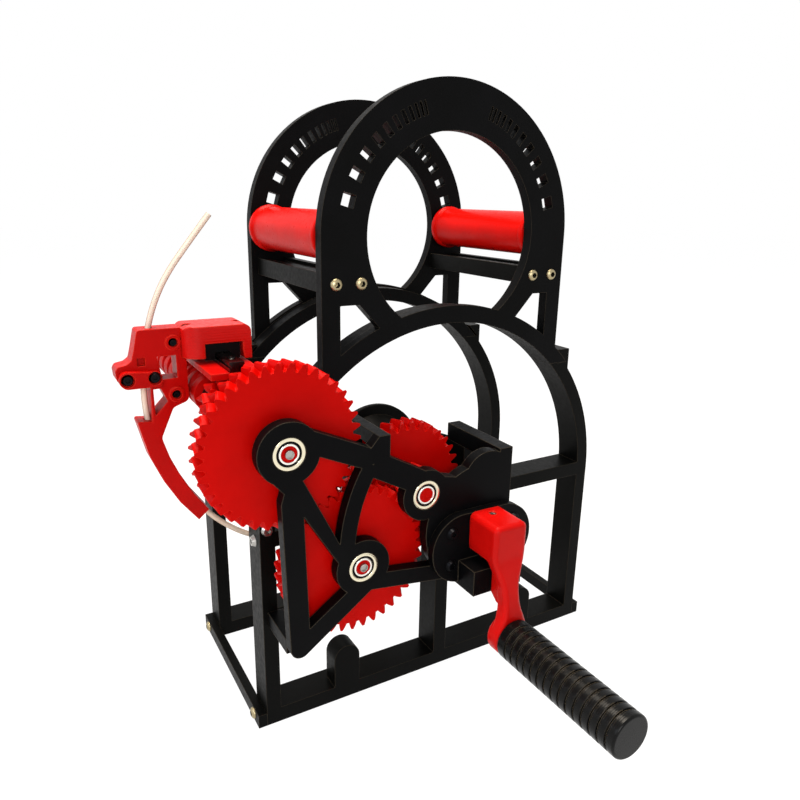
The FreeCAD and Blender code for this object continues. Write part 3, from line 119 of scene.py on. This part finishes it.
def edge_highlight_mask(tree, rounded):
    """How strongly a rounded edge is painted lighter as a highlight, where it turns from its face."""
    square = add(tree, "ShaderNodeNewGeometry").outputs["True Normal"]
    turn = add(tree, "ShaderNodeVectorMath", {0: rounded, 1: square}, operation="DOT_PRODUCT")
    return add(tree, "ShaderNodeMapRange",
               {"Value": turn.outputs["Value"], "From Min": EDGE_HIGHLIGHT_STARTS, "From Max": EDGE_HIGHLIGHT_FULL,
                "To Max": EDGE_HIGHLIGHT_MOST}).outputs["Result"]


def bed_pebbles(tree, lift, normal):
    """The print bed's pebbled texture, pressed into the faces that lay flat on it."""
    given = add(tree, "ShaderNodeTexCoord").outputs
    grain = add(tree, "ShaderNodeTexNoise",
                {"Vector": given["Object"], "Scale": 1 / PEBBLE_GRAIN, "Detail": 2.0})
    split = add(tree, "ShaderNodeSeparateXYZ", {"Vector": given["Normal"]})
    size = add(tree, "ShaderNodeMath", {0: split.outputs["Y"]}, operation="ABSOLUTE")
    flat = add(tree, "ShaderNodeMath", {0: size.outputs[0], 1: FLAT_FACE}, operation="GREATER_THAN")
    height = add(tree, "ShaderNodeMath", {0: grain.outputs["Fac"], 1: flat.outputs[0]},
                 operation="MULTIPLY")
    return add(tree, "ShaderNodeBump",
               {"Height": height.outputs[0], "Strength": PEBBLE_STRENGTH, "Distance": lift * MM,
                "Normal": normal}).outputs["Normal"]


def printed_plastic(name, colour, shade, roughness, painted_edge, layers_along="Y", layer_gap=0.9,
                    layer_lift=0.05, pebble=0.0, edge=0.6, sheen=0.05):
    """Filament-printed plastic: stacked layer lines, slight colour drift, soft edges with a painted
    highlight.

    The layers' gap and lift, the pebbles' height and the edges' radius are in millimetres.
    A moulded piece has layers without any lift.
    """
    material, tree = blank_material(name)
    at = add(tree, "ShaderNodeTexCoord").outputs["Object"]

    drift = add(tree, "ShaderNodeTexNoise", {"Vector": at, "Scale": 1 / COLOUR_PATCH, "Detail": 4.0})
    ramp = add(tree, "ShaderNodeMapRange",
               {"Value": drift.outputs["Fac"], "From Min": 0.35, "From Max": 0.65})
    tint = add(tree, "ShaderNodeMix", {0: ramp.outputs["Result"], 6: linear(colour), 7: linear(shade)},
               data_type="RGBA")
    rounded = add(tree, "ShaderNodeBevel", {"Radius": edge * MM}, samples=6).outputs["Normal"]
    # The rounded edges are painted toward the edge colour: a painted highlight where light would catch
    # them.
    body = add(tree, "ShaderNodeMix", {0: edge_highlight_mask(tree, rounded), 6: tint.outputs[2], 7: linear(painted_edge)},
               data_type="RGBA")

    mottle = add(tree, "ShaderNodeTexNoise", {"Vector": at, "Scale": 1 / GLOSS_PATCH, "Detail": 3.0})
    rough = add(tree, "ShaderNodeMapRange",
                {"Value": mottle.outputs["Fac"], "From Min": 0.3, "From Max": 0.7,
                 "To Min": roughness + GLOSSIEST, "To Max": roughness + DULLEST})

    # Real layers are 0.2 to 0.3 mm thick, too fine to show from here, so they are drawn
    # three to six times as coarse. A wave's bands repeat every pi / 10 / scale metres.
    lines = add(tree, "ShaderNodeTexWave",
                {"Vector": at, "Scale": math.pi / 10 / (layer_gap * MM), "Distortion": 0.4,
                 "Detail": 1.0, "Detail Scale": 2.0},
                wave_type="BANDS", bands_direction=layers_along)
    normal = add(tree, "ShaderNodeBump",
                 {"Height": lines.outputs["Fac"], "Strength": LAYER_STRENGTH,
                  "Distance": layer_lift * MM, "Normal": rounded}).outputs["Normal"]
    if pebble:
        normal = bed_pebbles(tree, pebble, normal)

    surface = add(tree, "ShaderNodeBsdfPrincipled",
                  {"Base Color": body.outputs[2], "Roughness": rough.outputs["Result"],
                   "Normal": normal, "IOR": 1.46, "Specular IOR Level": sheen})
    add(tree, "ShaderNodeOutputMaterial", {"Surface": surface.outputs["BSDF"]})
    return material


# The size of a steel's uneven patches of polish, how far they stray from its roughness, and
# the radius of its edges
POLISH_PATCH = 1.667 * MM
POLISH_SPREAD = 0.04
STEEL_EDGE = 0.25 * MM


def turned_steel(name, colour, roughness):
    """Turned or ground steel: metallic, with fine uneven polish."""
    material, tree = blank_material(name)
    at = add(tree, "ShaderNodeTexCoord").outputs["Object"]
    polish = add(tree, "ShaderNodeTexNoise", {"Vector": at, "Scale": 1 / POLISH_PATCH, "Detail": 3.0})
    rough = add(tree, "ShaderNodeMapRange",
                {"Value": polish.outputs["Fac"], "To Min": roughness - POLISH_SPREAD,
                 "To Max": roughness + POLISH_SPREAD})
    rounded = add(tree, "ShaderNodeBevel", {"Radius": STEEL_EDGE}, samples=4)
    surface = add(tree, "ShaderNodeBsdfPrincipled",
                  {"Base Color": linear(colour), "Metallic": 1.0, "Roughness": rough.outputs["Result"],
                   "Normal": rounded.outputs["Normal"]})
    add(tree, "ShaderNodeOutputMaterial", {"Surface": surface.outputs["BSDF"]})
    return material


# Each plastic's fifth colour is painted over its rounded edges as a highlight, where light would catch
# them.
# Black PLA printed flat: dull black faces that carry the pebbled print bed, and edges with
# fine layer lines, because the frames' layers stack along the winder's depth.
FRAME_BLACK = printed_plastic("black PLA printed flat", "#0A0A09", "#070706", 0.40, "#4A4236",
                              pebble=0.05)
# The rings lay on a coarser textured bed, so their faces sparkle a little in raking light.
RING_BLACK = printed_plastic("black PLA from a textured print bed", "#0A0A0B", "#070707", 0.46,
                             "#4A4236", pebble=0.11, edge=0.5)
# The gearbox parts are the same plastic, smoother, with edges painted grey as a highlight.
BRACKET_BLACK = printed_plastic("black PLA gearbox print", "#09090A", "#060607", 0.40, "#5A5142",
                                pebble=0.04, edge=0.8)
# Red PLA gears: an even deep red with a soft sheen, and teeth whose crisp edges are painted lighter as a
# highlight.
GEAR_RED = printed_plastic("red PLA gear print", "#BC0401", "#AE0300", 0.40, "#F22A1A",
                           layer_gap=0.8, edge=0.35)
# The crank and the guide are handled, so they are glossier, and their round edges are painted lighter as
# a highlight.
CRANK_RED = printed_plastic("red PLA crank print", "#BE0A07", "#B00805", 0.34, "#F8341F",
                            edge=1.2, sheen=0.1)
GUIDE_RED = printed_plastic("red PLA guide print", "#B40503", "#A40402", 0.36, "#F4301E",
                            edge=0.9, sheen=0.08)
# The carriage cover was printed upright, so its walls show level lines under a bright top.
COVER_RED = printed_plastic("red PLA carriage print", "#C60F0B", "#B60B08", 0.34, "#F83A24",
                            layers_along="Z", layer_gap=1.3, layer_lift=0.12, edge=1.5, sheen=0.15)
# The rollers' rings of layers catch the light as fine stripes round a bright red tube.
ROLLER_RED = printed_plastic("red PLA printed on end", "#C40A04", "#B80803", 0.32, "#F42A14",
                             edge=0.8, sheen=0.07)
# The traverse screw is rubbed dull by its follower.
SCREW_RED = printed_plastic("red PLA screw print", "#B00604", "#9E0403", 0.42, "#D81A10", edge=0.4)
# Hands have polished the grip, so a streak of light runs along its ribs, and the ribs' edges are painted
# light brown as a highlight.
GRIP_BLACK = printed_plastic("black PLA grip print", "#0A0A0A", "#070707", 0.24, "#8A7A60",
                             layer_gap=1.0, edge=0.3, sheen=0.14)
# Moulded acetal is smooth, even and faintly waxy, with no layers.
BLOCK_BLACK = printed_plastic("moulded acetal block", "#0C0C0D", "#0A0A0B", 0.35, "#3A3834",
                              layer_lift=0.0)
# Moulded nitrile rubber is flat black, so a bearing's shield looks like a dark gap.
SHIELD = printed_plastic("black nitrile shield", "#0D0D0E", "#0A0A0B", 0.5, "#1A1A1A",
                         layer_lift=0.0, edge=0.1)

# Ground bearing steel mirrors the room and looks bright and slightly warm indoors.
RACE_STEEL = turned_steel("ground bearing steel", "#E9E0C4", 0.22)
# The inner race is ground finer, so it is the brighter and whiter of the two.
INNER_STEEL = turned_steel("polished bearing steel", "#F4F1EA", 0.18)
# Yellow zinc plating gives the tie and end bar screws a dull brassy tone.
ZINC = turned_steel("yellow zinc plated steel", "#A89A78", 0.34)
# A screw's socket is painted a dark brown dot in the bright head: painted shade of the recess, with some
# dirt.
SOCKET_SHADE_AND_DIRT = turned_steel("zinc socket painted dark for shade and dirt", "#3A3226", 0.45)
# Clear zinc plating is a neutral silver grey with blurred highlights.
BRIGHT_ZINC = turned_steel("bright zinc plated steel", "#A9A7A2", 0.30)
# Black oxide leaves steel nearly black, with a dim metallic edge.
BLACK_OXIDE = turned_steel("black oxide steel", "#1A1A1C", 0.38)
# Ground shaft steel is a cool grey that mirrors what lies beside it.
SHAFT_STEEL = turned_steel("ground shaft steel", "#8C8D92", 0.24)
# Black chrome plating makes the rail a dark mirror, with bright glints only at its edges.
BLACK_CHROME = turned_steel("black chrome plated rail steel", "#2C2828", 0.22)


def strand_plastic():
    """Extruded natural nylon: milky white, with painted tan shade towards the strand's outline, where it
    turns from the camera.
    """
    material, tree = blank_material("natural nylon filament")
    at = add(tree, "ShaderNodeTexCoord").outputs["Object"]
    milk_patch = 8.33 * MM
    edge_shade_starts = 0.15
    edge_shade_full = 0.7
    cloud = add(tree, "ShaderNodeTexNoise", {"Vector": at, "Scale": 1 / milk_patch, "Detail": 2.0})
    milk = add(tree, "ShaderNodeMix",
               {0: cloud.outputs["Fac"], 6: linear("#E4D5C6"), 7: linear("#D8C4B0")}, data_type="RGBA")
    # The outline's tan is painted shade: it grows as the surface turns from the camera.
    slant = add(tree, "ShaderNodeLayerWeight", {"Blend": 0.5}).outputs["Facing"]
    painted_edge = add(tree, "ShaderNodeMapRange",
              {"Value": slant, "From Min": edge_shade_starts, "From Max": edge_shade_full})
    body = add(tree, "ShaderNodeMix",
               {0: painted_edge.outputs["Result"], 6: milk.outputs[2], 7: linear("#9A7E66")}, data_type="RGBA")
    surface = add(tree, "ShaderNodeBsdfPrincipled",
                  {"Base Color": body.outputs[2], "Roughness": 0.35, "IOR": 1.53,
                   "Specular IOR Level": 0.3})
    add(tree, "ShaderNodeOutputMaterial", {"Surface": surface.outputs["BSDF"]})
    return material


STRAND = strand_plastic()

FINISHES = {
    FRAME_BLACK: ["near_lower_frame", "far_lower_frame", "left_end_bar", "right_end_bar",
                  "left_roller_tie", "right_roller_tie", "near_spool_cone", "far_spool_cone"],
    RING_BLACK: ["near_spool_ring", "far_spool_ring"],
    BRACKET_BLACK: ["gearbox_bracket", "crank_housing"],
    GEAR_RED: ["crank_pinion", "idler_gear", "idler_pinion", "middle_gear", "top_gear", "drive_gear",
               "screw_pinion"],
    CRANK_RED: ["crank"],
    GUIDE_RED: ["guide_arm", "clamp_plate", "rail_beam"],
    COVER_RED: ["carriage_cover"],
    ROLLER_RED: ["left_roller", "right_roller"],
    SCREW_RED: ["traverse_screw"],
    GRIP_BLACK: ["grip"],
    BLOCK_BLACK: ["rail_block"],
    RACE_STEEL: ["left_roller_bearings", "right_roller_bearings", "front_gear_bearings",
                 "rear_gear_bearings", "crank_shaft_bearings"],
    ZINC: ["tie_screws", "end_bar_screws"],
    BRIGHT_ZINC: ["post_screws", "rail_screws", "top_gear_screw", "middle_gear_screw", "crank_set_screw"],
    BLACK_OXIDE: ["housing_screws", "cover_screws", "clamp_screws", "arm_screws", "grip_bolt"],
    SHAFT_STEEL: ["left_roller_axle", "right_roller_axle", "spool_shaft", "follower_pin"],
    BLACK_CHROME: ["linear_rail"],
    STRAND: ["strand"],
}
for finish, names in FINISHES.items():
    for name in names:
        for slot in NODES[name].material_slots:
            slot.material = finish


# Finished pieces

def hand_over(name, mesh, body, node):
    """Link a finished mesh at the origin, to move with a body and stand for a CAD node."""
    made = bpy.data.objects.new(name, mesh)
    scene.collection.objects.link(made)
    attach(made, body)
    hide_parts(node)


def seats_mesh(seats):
    """A mesh of loose points, each with the way that its part faces."""
    mesh = bpy.data.meshes.new("seats")
    mesh.from_pydata([seat for seat, _ in seats], [], [])
    facing = mesh.attributes.new("facing", "FLOAT_VECTOR", "POINT")
    facing.data.foreach_set("vector", [c for _, way in seats for c in way])
    return mesh


def grown(name, seats, tree, inputs):
    """The plain mesh that a node tree makes on the seats."""
    holder = bpy.data.objects.new(name, seats_mesh(seats))
    scene.collection.objects.link(holder)
    modifier = holder.modifiers.new("Parts", "NODES")
    modifier.node_group = tree
    for item in tree.interface.items_tree:
        if item.item_type == "SOCKET" and item.in_out == "INPUT" and item.name in inputs:
            modifier[item.identifier] = inputs[item.name]
    holder.update_tag()
    graph = bpy.context.evaluated_depsgraph_get()
    mesh = bpy.data.meshes.new_from_object(holder.evaluated_get(graph))
    holder.modifiers.remove(modifier)
    bpy.data.objects.remove(holder)
    mesh.name = name
    return mesh


def new_tree(name, sizes, finishes):
    """A geometry tree with its geometry, size and material inputs."""
    tree = bpy.data.node_groups.new(name, "GeometryNodeTree")
    tree.interface.new_socket("Geometry", in_out="OUTPUT", socket_type="NodeSocketGeometry")
    tree.interface.new_socket("Geometry", in_out="INPUT", socket_type="NodeSocketGeometry")
    for label, value in sizes.items():
        made = tree.interface.new_socket(label, in_out="INPUT", socket_type="NodeSocketFloat")
        made.default_value = value
    for label in finishes:
        tree.interface.new_socket(label, in_out="INPUT", socket_type="NodeSocketMaterial")
    return tree, add(tree, "NodeGroupInput").outputs


def placed_on_seats(tree, given, part):
    """Put one copy of the part on each seat, turned to face its way, as real mesh."""
    way = add(tree, "GeometryNodeInputNamedAttribute", {"Name": "facing"}, data_type="FLOAT_VECTOR")
    turn = add(tree, "FunctionNodeAlignRotationToVector", {"Vector": way.outputs[0]}, axis="Z")
    copies = add(tree, "GeometryNodeInstanceOnPoints",
                 {"Points": given["Geometry"], "Instance": part, "Rotation": turn.outputs[0]})
    real = add(tree, "GeometryNodeRealizeInstances", {"Geometry": copies.outputs[0]})
    add(tree, "NodeGroupOutput", {"Geometry": real.outputs[0]})


# A bearing's turned rings: where each starts and ends, as shares of the wall from the bore to
# the outside, how many shield dips it is narrower than the bearing, and its finish
BEARING_RINGS = [
    (0.56, 1.0, 0.0, "Race finish"),
    (0.24, 0.58, 2.0, "Shield finish"),
    (0.0, 0.26, 0.0, "Inner finish"),
]


def bearing_tree():
    """A ball bearing: outer race, sunken shield and inner race, each a turned ring."""
    tree, given = new_tree("Ball bearing",
                           {"Bore radius": 4 * MM, "Outer radius": 8 * MM, "Width": 5 * MM,
                            "Shield dip": 0.4 * MM, "Edge radius": 0.25 * MM},
                           ("Race finish", "Shield finish", "Inner finish"))

    wall = add(tree, "ShaderNodeMath", {0: given["Outer radius"], 1: given["Bore radius"]},
               operation="SUBTRACT").outputs[0]
    rings = []
    for start, end, dips, finish in BEARING_RINGS:
        centre = add(tree, "ShaderNodeMath", {0: wall, 1: (start + end) / 2, 2: given["Bore radius"]},
                     operation="MULTIPLY_ADD")
        thick = add(tree, "ShaderNodeMath", {0: wall, 1: end - start}, operation="MULTIPLY")
        width = add(tree, "ShaderNodeMath", {0: given["Shield dip"], 1: -dips, 2: given["Width"]},
                    operation="MULTIPLY_ADD")
        path = add(tree, "GeometryNodeCurvePrimitiveCircle",
                   {"Resolution": 64, "Radius": centre.outputs[0]})
        section = add(tree, "GeometryNodeCurvePrimitiveQuadrilateral",
                      {"Width": thick.outputs[0], "Height": width.outputs[0]})
        soft = add(tree, "GeometryNodeFilletCurve",
                   {"Curve": section.outputs[0], "Radius": given["Edge radius"], "Count": 2}, mode="POLY")
        ring = add(tree, "GeometryNodeCurveToMesh",
                   {"Curve": path.outputs[0], "Profile Curve": soft.outputs[0]})
        coated = add(tree, "GeometryNodeSetMaterial",
                     {"Geometry": ring.outputs[0], "Material": given[finish]})
        rings.append(coated.outputs[0])
    joined = add(tree, "GeometryNodeJoinGeometry")
    for ring in reversed(rings):
        tree.links.new(ring, joined.inputs[0])
    half = add(tree, "ShaderNodeMath", {0: given["Width"], 1: -0.5}, operation="MULTIPLY")
    shift = add(tree, "ShaderNodeCombineXYZ", {"Z": half.outputs[0]})
    seated = add(tree, "GeometryNodeTransform",
                 {"Geometry": joined.outputs[0], "Translation": shift.outputs[0]})
    placed_on_seats(tree, given, seated.outputs[0])
    return tree


# How far up a screw's head the middle of its socket's cutter is, as a share of the height
SOCKET_RISE = 0.9


def screw_tree():
    """A button-head screw: a domed head with a hexagon socket."""
    tree, given = new_tree("Button head",
                           {"Head radius": 3.3 * MM, "Head height": 1.9 * MM,
                            "Socket radius": 1.6 * MM},
                           ("Head finish", "Socket shade and dirt finish"))

    ball = add(tree, "GeometryNodeMeshUVSphere",
               {"Segments": 36, "Rings": 18, "Radius": given["Head radius"]})
    flatten = add(tree, "ShaderNodeMath", {0: given["Head height"], 1: given["Head radius"]},
                  operation="DIVIDE")
    squeeze = add(tree, "ShaderNodeCombineXYZ", {"X": 1.0, "Y": 1.0, "Z": flatten.outputs[0]})
    dome = add(tree, "GeometryNodeTransform",
               {"Geometry": ball.outputs["Mesh"], "Scale": squeeze.outputs[0]})
    hexagon = add(tree, "GeometryNodeMeshCylinder",
                  {"Vertices": 6, "Radius": given["Socket radius"], "Depth": given["Head height"]},
                  fill_type="NGON")
    rise = add(tree, "ShaderNodeMath", {0: given["Head height"], 1: SOCKET_RISE}, operation="MULTIPLY")
    lift = add(tree, "ShaderNodeCombineXYZ", {"Z": rise.outputs[0]})
    raised = add(tree, "GeometryNodeTransform",
                 {"Geometry": hexagon.outputs["Mesh"], "Translation": lift.outputs[0]})
    plated = add(tree, "GeometryNodeSetMaterial",
                 {"Geometry": dome.outputs[0], "Material": given["Head finish"]})
    # The socket's faces take a dark finish: painted shade of the recess, with some dirt.
    socket_painted_dark = add(tree, "GeometryNodeSetMaterial",
                {"Geometry": raised.outputs[0], "Material": given["Socket shade and dirt finish"]})
    socketed = add(tree, "GeometryNodeMeshBoolean",
                   {"Mesh 1": plated.outputs[0], "Mesh 2": socket_painted_dark.outputs[0]}, operation="DIFFERENCE")
    placed_on_seats(tree, given, socketed.outputs["Mesh"])
    return tree


FRONT = Vector((0, -1, 0))
BACK = Vector((0, 1, 0))
LEFT = Vector((-1, 0, 0))
RIGHT = Vector((1, 0, 0))

BEARING = bearing_tree()
SCREW = screw_tree()


def bearings(name, seats):
    """Replace one node's bearings by detailed ones."""
    mesh = grown(name + "_rings", seats, BEARING,
                 {"Race finish": RACE_STEEL, "Shield finish": SHIELD, "Inner finish": INNER_STEEL})
    hand_over(name + "_rings", mesh, "frame", name)


def make_bearings():
    """The gear shafts' bearings, the crank's three and the rollers' four."""
    front_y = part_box("front_gear_bearings")[0].y
    rear_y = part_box("rear_gear_bearings")[0].y
    far_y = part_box("crank_shaft_bearings")[1].y
    gears = [AXES[body] for body in ("top_gear", "middle_gear", "idler")]
    bearings("front_gear_bearings", [(Vector((a.x, front_y, a.z)), FRONT) for a in gears])
    bearings("rear_gear_bearings", [(Vector((a.x, rear_y, a.z)), FRONT) for a in gears])
    bearings("crank_shaft_bearings", [(Vector((SHAFT.x, front_y, SHAFT.z)), FRONT),
                                      (Vector((SHAFT.x, rear_y, SHAFT.z)), FRONT),
                                      (Vector((SHAFT.x, far_y, SHAFT.z)), BACK)])
    for side in ("left", "right"):
        low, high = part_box(side + "_roller_bearings")
        axis = AXES[side + "_roller"]
        bearings(side + "_roller_bearings", [(Vector((axis.x, low.y, axis.z)), FRONT),
                                             (Vector((axis.x, high.y, axis.z)), BACK)])


# How far a tie's screws are from its sides, and an end bar's from the frames' outer faces
TIE_SCREW_INSET = 4 * MM
BAR_SCREW_INSET = 9 * MM


def screw_heads(name, seats, node):
    """Replace one node's screws by detailed heads."""
    mesh = grown(name, seats, SCREW, {"Head finish": ZINC, "Socket shade and dirt finish": SOCKET_SHADE_AND_DIRT})
    hand_over(name, mesh, "frame", node)


def make_frame_screws():
    """The domed zinc screws of the ties and end bars."""
    seats = []
    for tie in ("left_roller_tie", "right_roller_tie"):
        low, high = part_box(tie)
        middle_z = (low.z + high.z) / 2
        for x in (low.x + TIE_SCREW_INSET, high.x - TIE_SCREW_INSET):
            seats += [(Vector((x, FACE_Y, middle_z)), FRONT), (Vector((x, BACK_Y, middle_z)), BACK)]
    screw_heads("tie_screw_heads", seats, "tie_screws")
    seats = []
    for bar, way in (("left_end_bar", LEFT), ("right_end_bar", RIGHT)):
        low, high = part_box(bar)
        x = low.x if way is LEFT else high.x
        for y in (FACE_Y + BAR_SCREW_INSET, BACK_Y - BAR_SCREW_INSET):
            seats.append((Vector((x, y, (low.z + high.z) / 2)), way))
    screw_heads("end_bar_screw_heads", seats, "end_bar_screws")


# The traverse screw's sizes: its drum is inset from the near face and from the shaft's far
# end, and its grooves run out short of the drum's ends.
DRUM_INSET = 10 * MM
CREST_RADIUS = 9.5 * MM
SHAFT_RADIUS = 3.95 * MM
GROOVE_LEAD = 12 * MM
GROOVE_DEPTH = 2.6 * MM
GROOVE_HALF_WIDTH = 1.9 * MM
GROOVE_RUN_OUT = 4 * MM
GROOVE_WALL_SLOPE = 2.2
DRUM_SIDES = 96
DRUM_STEPS = 260
SHARP_EDGE = math.radians(35)


def groove_depth(angle, past_start, travel):
    """How deep the two crossing grooves are at a place on the drum."""
    along = min(max(past_start, 0.0), travel)
    beyond = abs(past_start - along)
    sunk = 0.0
    for hand in (1, -1):
        turn = hand * 2 * math.pi * along / GROOVE_LEAD
        away = (angle - turn + math.pi) % (2 * math.pi) - math.pi
        gap = min(abs(away) / (2 * math.pi) * GROOVE_LEAD, GROOVE_LEAD / 2)
        sunk = max(sunk, 1 - math.hypot(gap, beyond) / GROOVE_HALF_WIDTH)
    return GROOVE_DEPTH * min(1.0, sunk * GROOVE_WALL_SLOPE)


def make_traverse_screw():
    """The reversing screw: a drum with two crossing grooves that join at its ends."""
    low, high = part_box("traverse_screw")
    axis = AXES["traverse_screw"]
    start = FACE_Y + DRUM_INSET
    end = high.y - DRUM_INSET
    groove_start = start + GROOVE_RUN_OUT
    travel = end - start - 2 * GROOVE_RUN_OUT
    mesh = bmesh.new()

    def ring(y, grooved=False):
        made = []
        for i in range(DRUM_SIDES):
            angle = 2 * math.pi * i / DRUM_SIDES
            radius = SHAFT_RADIUS
            if grooved:
                radius = CREST_RADIUS - groove_depth(angle, y - groove_start, travel)
            made.append(mesh.verts.new((axis.x + radius * math.cos(angle), y,
                                        axis.z + radius * math.sin(angle))))
        return made

    rings = [ring(low.y), ring(start)]
    for k in range(DRUM_STEPS + 1):
        rings.append(ring(start + (end - start) * k / DRUM_STEPS, grooved=True))
    rings += [ring(end), ring(high.y)]
    for first, second in zip(rings, rings[1:]):
        for i in range(DRUM_SIDES):
            j = (i + 1) % DRUM_SIDES
            mesh.faces.new((first[i], first[j], second[j], second[i]))
    mesh.faces.new(reversed(rings[0]))
    mesh.faces.new(rings[-1])
    bmesh.ops.recalc_face_normals(mesh, faces=mesh.faces)
    made = bpy.data.meshes.new("reversing_screw")
    mesh.to_mesh(made)
    mesh.free()
    for face in made.polygons:
        face.use_smooth = True
    made.set_sharp_from_angle(angle=SHARP_EDGE)
    made.materials.append(SCREW_RED)
    hand_over("reversing_screw", made, "traverse_screw", "traverse_screw")


# The strand's radius and its route, in millimetres as in the model's source
STRAND_RADIUS = 1.425
ROUTE = [
    (-125.3, 21.5, 277.9), (-136.2, 21.5, 264.5), (-147.1, 21.5, 250.3), (-153.9, 21.5, 236.9),
    (-158.3, 21.5, 222.0), (-160.9, 21.5, 206.0), (-161.5, 21.5, 190.0), (-159.9, 21.5, 175.0),
    (-155.5, 21.5, 160.5), (-148.6, 21.5, 146.6), (-140.0, 21.5, 134.0), (-132.9, 21.9, 124.6),
    (-123.5, 23.1, 115.4), (-112.9, 24.9, 107.4), (-101.5, 27.1, 101.2),
]


def make_strand():
    """The filament: a round cord along its route, moving with the carriage that guides it."""
    line = bpy.data.curves.new("filament", "CURVE")
    line.dimensions = "3D"
    line.bevel_depth = STRAND_RADIUS * MM
    line.bevel_resolution = 6
    line.resolution_u = 16
    line.use_fill_caps = True
    spline = line.splines.new("NURBS")
    spline.points.add(len(ROUTE) - 1)
    for point, place in zip(spline.points, ROUTE):
        point.co = (*spot(*place), 1.0)
    spline.order_u = 3
    spline.use_endpoint_u = True
    made = bpy.data.objects.new("filament", line)
    scene.collection.objects.link(made)
    line.materials.append(STRAND)
    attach(made, "carriage")
    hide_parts("strand")


# Studio

# The room's light on the winder, which the camera sees as plain white instead. The floor is
# mixed from white light and shaded paper, so that it looks as white as the room behind it
# and still holds the winder's shadow.
ROOM_LIGHT = 0.34
FLOOR_GLOW = 1.12
FLOOR_PLAIN_SHARE = 0.86
FLOOR_REACH = 6.0


def plain_share(tree, share):
    """How far a background is plain white to the camera, and in metal and gloss."""
    ray = add(tree, "ShaderNodeLightPath").outputs
    seen = add(tree, "ShaderNodeMath", {0: ray["Is Camera Ray"], 1: ray["Is Glossy Ray"]},
               operation="MAXIMUM")
    any_ray = add(tree, "ShaderNodeMath", {0: seen.outputs[0], 1: ray["Is Transmission Ray"]},
                  operation="MAXIMUM")
    return add(tree, "ShaderNodeMath", {0: any_ray.outputs[0], 1: share}, operation="MULTIPLY").outputs[0]


def make_room():
    """A plain room of even light."""
    world = bpy.data.worlds.new("studio")
    scene.world = world
    world.use_nodes = True
    tree = world.node_tree
    tree.nodes.clear()
    seen = add(tree, "ShaderNodeBackground", {"Color": linear("#FFFFFF"), "Strength": 1.0})
    room = add(tree, "ShaderNodeBackground", {"Color": linear("#F3F4F6"), "Strength": ROOM_LIGHT})
    both = add(tree, "ShaderNodeMixShader",
               {0: plain_share(tree, 1.0), 1: room.outputs[0], 2: seen.outputs[0]})
    add(tree, "ShaderNodeOutputWorld", {"Surface": both.outputs[0]})


def make_floor():
    """White matt paper: it shows nothing of its own but the soft shadow under the winder."""
    material, tree = blank_material("white paper sweep")
    paper = add(tree, "ShaderNodeBsdfDiffuse", {"Color": linear("#E9E9E9")})
    plain = add(tree, "ShaderNodeEmission", {"Color": linear("#FFFFFF"), "Strength": FLOOR_GLOW})
    both = add(tree, "ShaderNodeMixShader",
               {0: plain_share(tree, FLOOR_PLAIN_SHARE), 1: paper.outputs[0], 2: plain.outputs[0]})
    add(tree, "ShaderNodeOutputMaterial", {"Surface": both.outputs[0]})
    mesh = bpy.data.meshes.new("floor")
    corners = [(-1, -1), (1, -1), (1, 1), (-1, 1)]
    mesh.from_pydata([(x * FLOOR_REACH, y * FLOOR_REACH, 0) for x, y in corners], [], [(0, 1, 2, 3)])
    floor = bpy.data.objects.new("floor", mesh)
    scene.collection.objects.link(floor)
    mesh.materials.append(material)


def make_lamp(name, place, target, size, power, colour):
    """A round lamp that points at a target."""
    data = bpy.data.lights.new(name, "AREA")
    data.shape = "DISK"
    data.size = size
    data.energy = power
    data.color = linear(colour)[:3]
    lamp = bpy.data.objects.new(name, data)
    scene.collection.objects.link(lamp)
    lamp.location = place
    lamp.rotation_euler = (Vector(target) - Vector(place)).to_track_quat("-Z", "Y").to_euler()


def make_lamps():
    """A warm lamp overhead and two fills, from the left and from the front."""
    make_lamp("key", place=(-0.05, 0.15, 1.15), target=(0.0, 0.0, 0.1),
              size=0.6, power=22.0, colour="#FFF3E2")
    make_lamp("left fill", place=(-1.2, 0.1, 0.75), target=(0.0, 0.0, 0.15),
              size=0.5, power=6.0, colour="#E8F0FF")
    make_lamp("front fill", place=(-0.6, -1.3, 0.7), target=(0.0, 0.0, 0.15),
              size=0.6, power=10.0, colour="#FFFFFF")


# The camera as fitted to the photograph: its place in millimetres, its turns in radians (to
# the right, down, and about its own axis), and its focal length in pixels of the picture
CAMERA_PLACE = (-214.91, -312.67, 286.34)
CAMERA_YAW = 0.52882824
CAMERA_PITCH = 0.28465714
CAMERA_ROLL = 0.01774786
FOCAL_PIXELS = 688.18
PICTURE_WIDTH = 800
SENSOR_WIDTH = 36.0


def make_camera():
    """The photograph's place and angle: a phone-like lens close to the winder's left front."""
    level = Vector((math.sin(CAMERA_YAW), math.cos(CAMERA_YAW), 0))
    ahead = level * math.cos(CAMERA_PITCH) - Vector((0, 0, 1)) * math.sin(CAMERA_PITCH)
    side = Vector((math.cos(CAMERA_YAW), -math.sin(CAMERA_YAW), 0))
    top = side.cross(ahead)
    right = side * math.cos(CAMERA_ROLL) + top * math.sin(CAMERA_ROLL)
    above = top * math.cos(CAMERA_ROLL) - side * math.sin(CAMERA_ROLL)
    data = bpy.data.cameras.new("camera")
    data.sensor_width = SENSOR_WIDTH
    data.lens = SENSOR_WIDTH * FOCAL_PIXELS / PICTURE_WIDTH
    data.clip_start = 0.01
    data.clip_end = 20.0
    camera = bpy.data.objects.new("camera", data)
    scene.collection.objects.link(camera)
    turn = Matrix((right, above, -ahead)).transposed().to_4x4()
    camera.matrix_world = Matrix.Translation(spot(*CAMERA_PLACE)) @ turn
    scene.camera = camera


make_camera()
make_strand()
make_bearings()
make_frame_screws()
make_traverse_screw()
make_room()
make_floor()
make_lamps()

scene.view_settings.view_transform = "Standard"

bpy.context.view_layer.update()
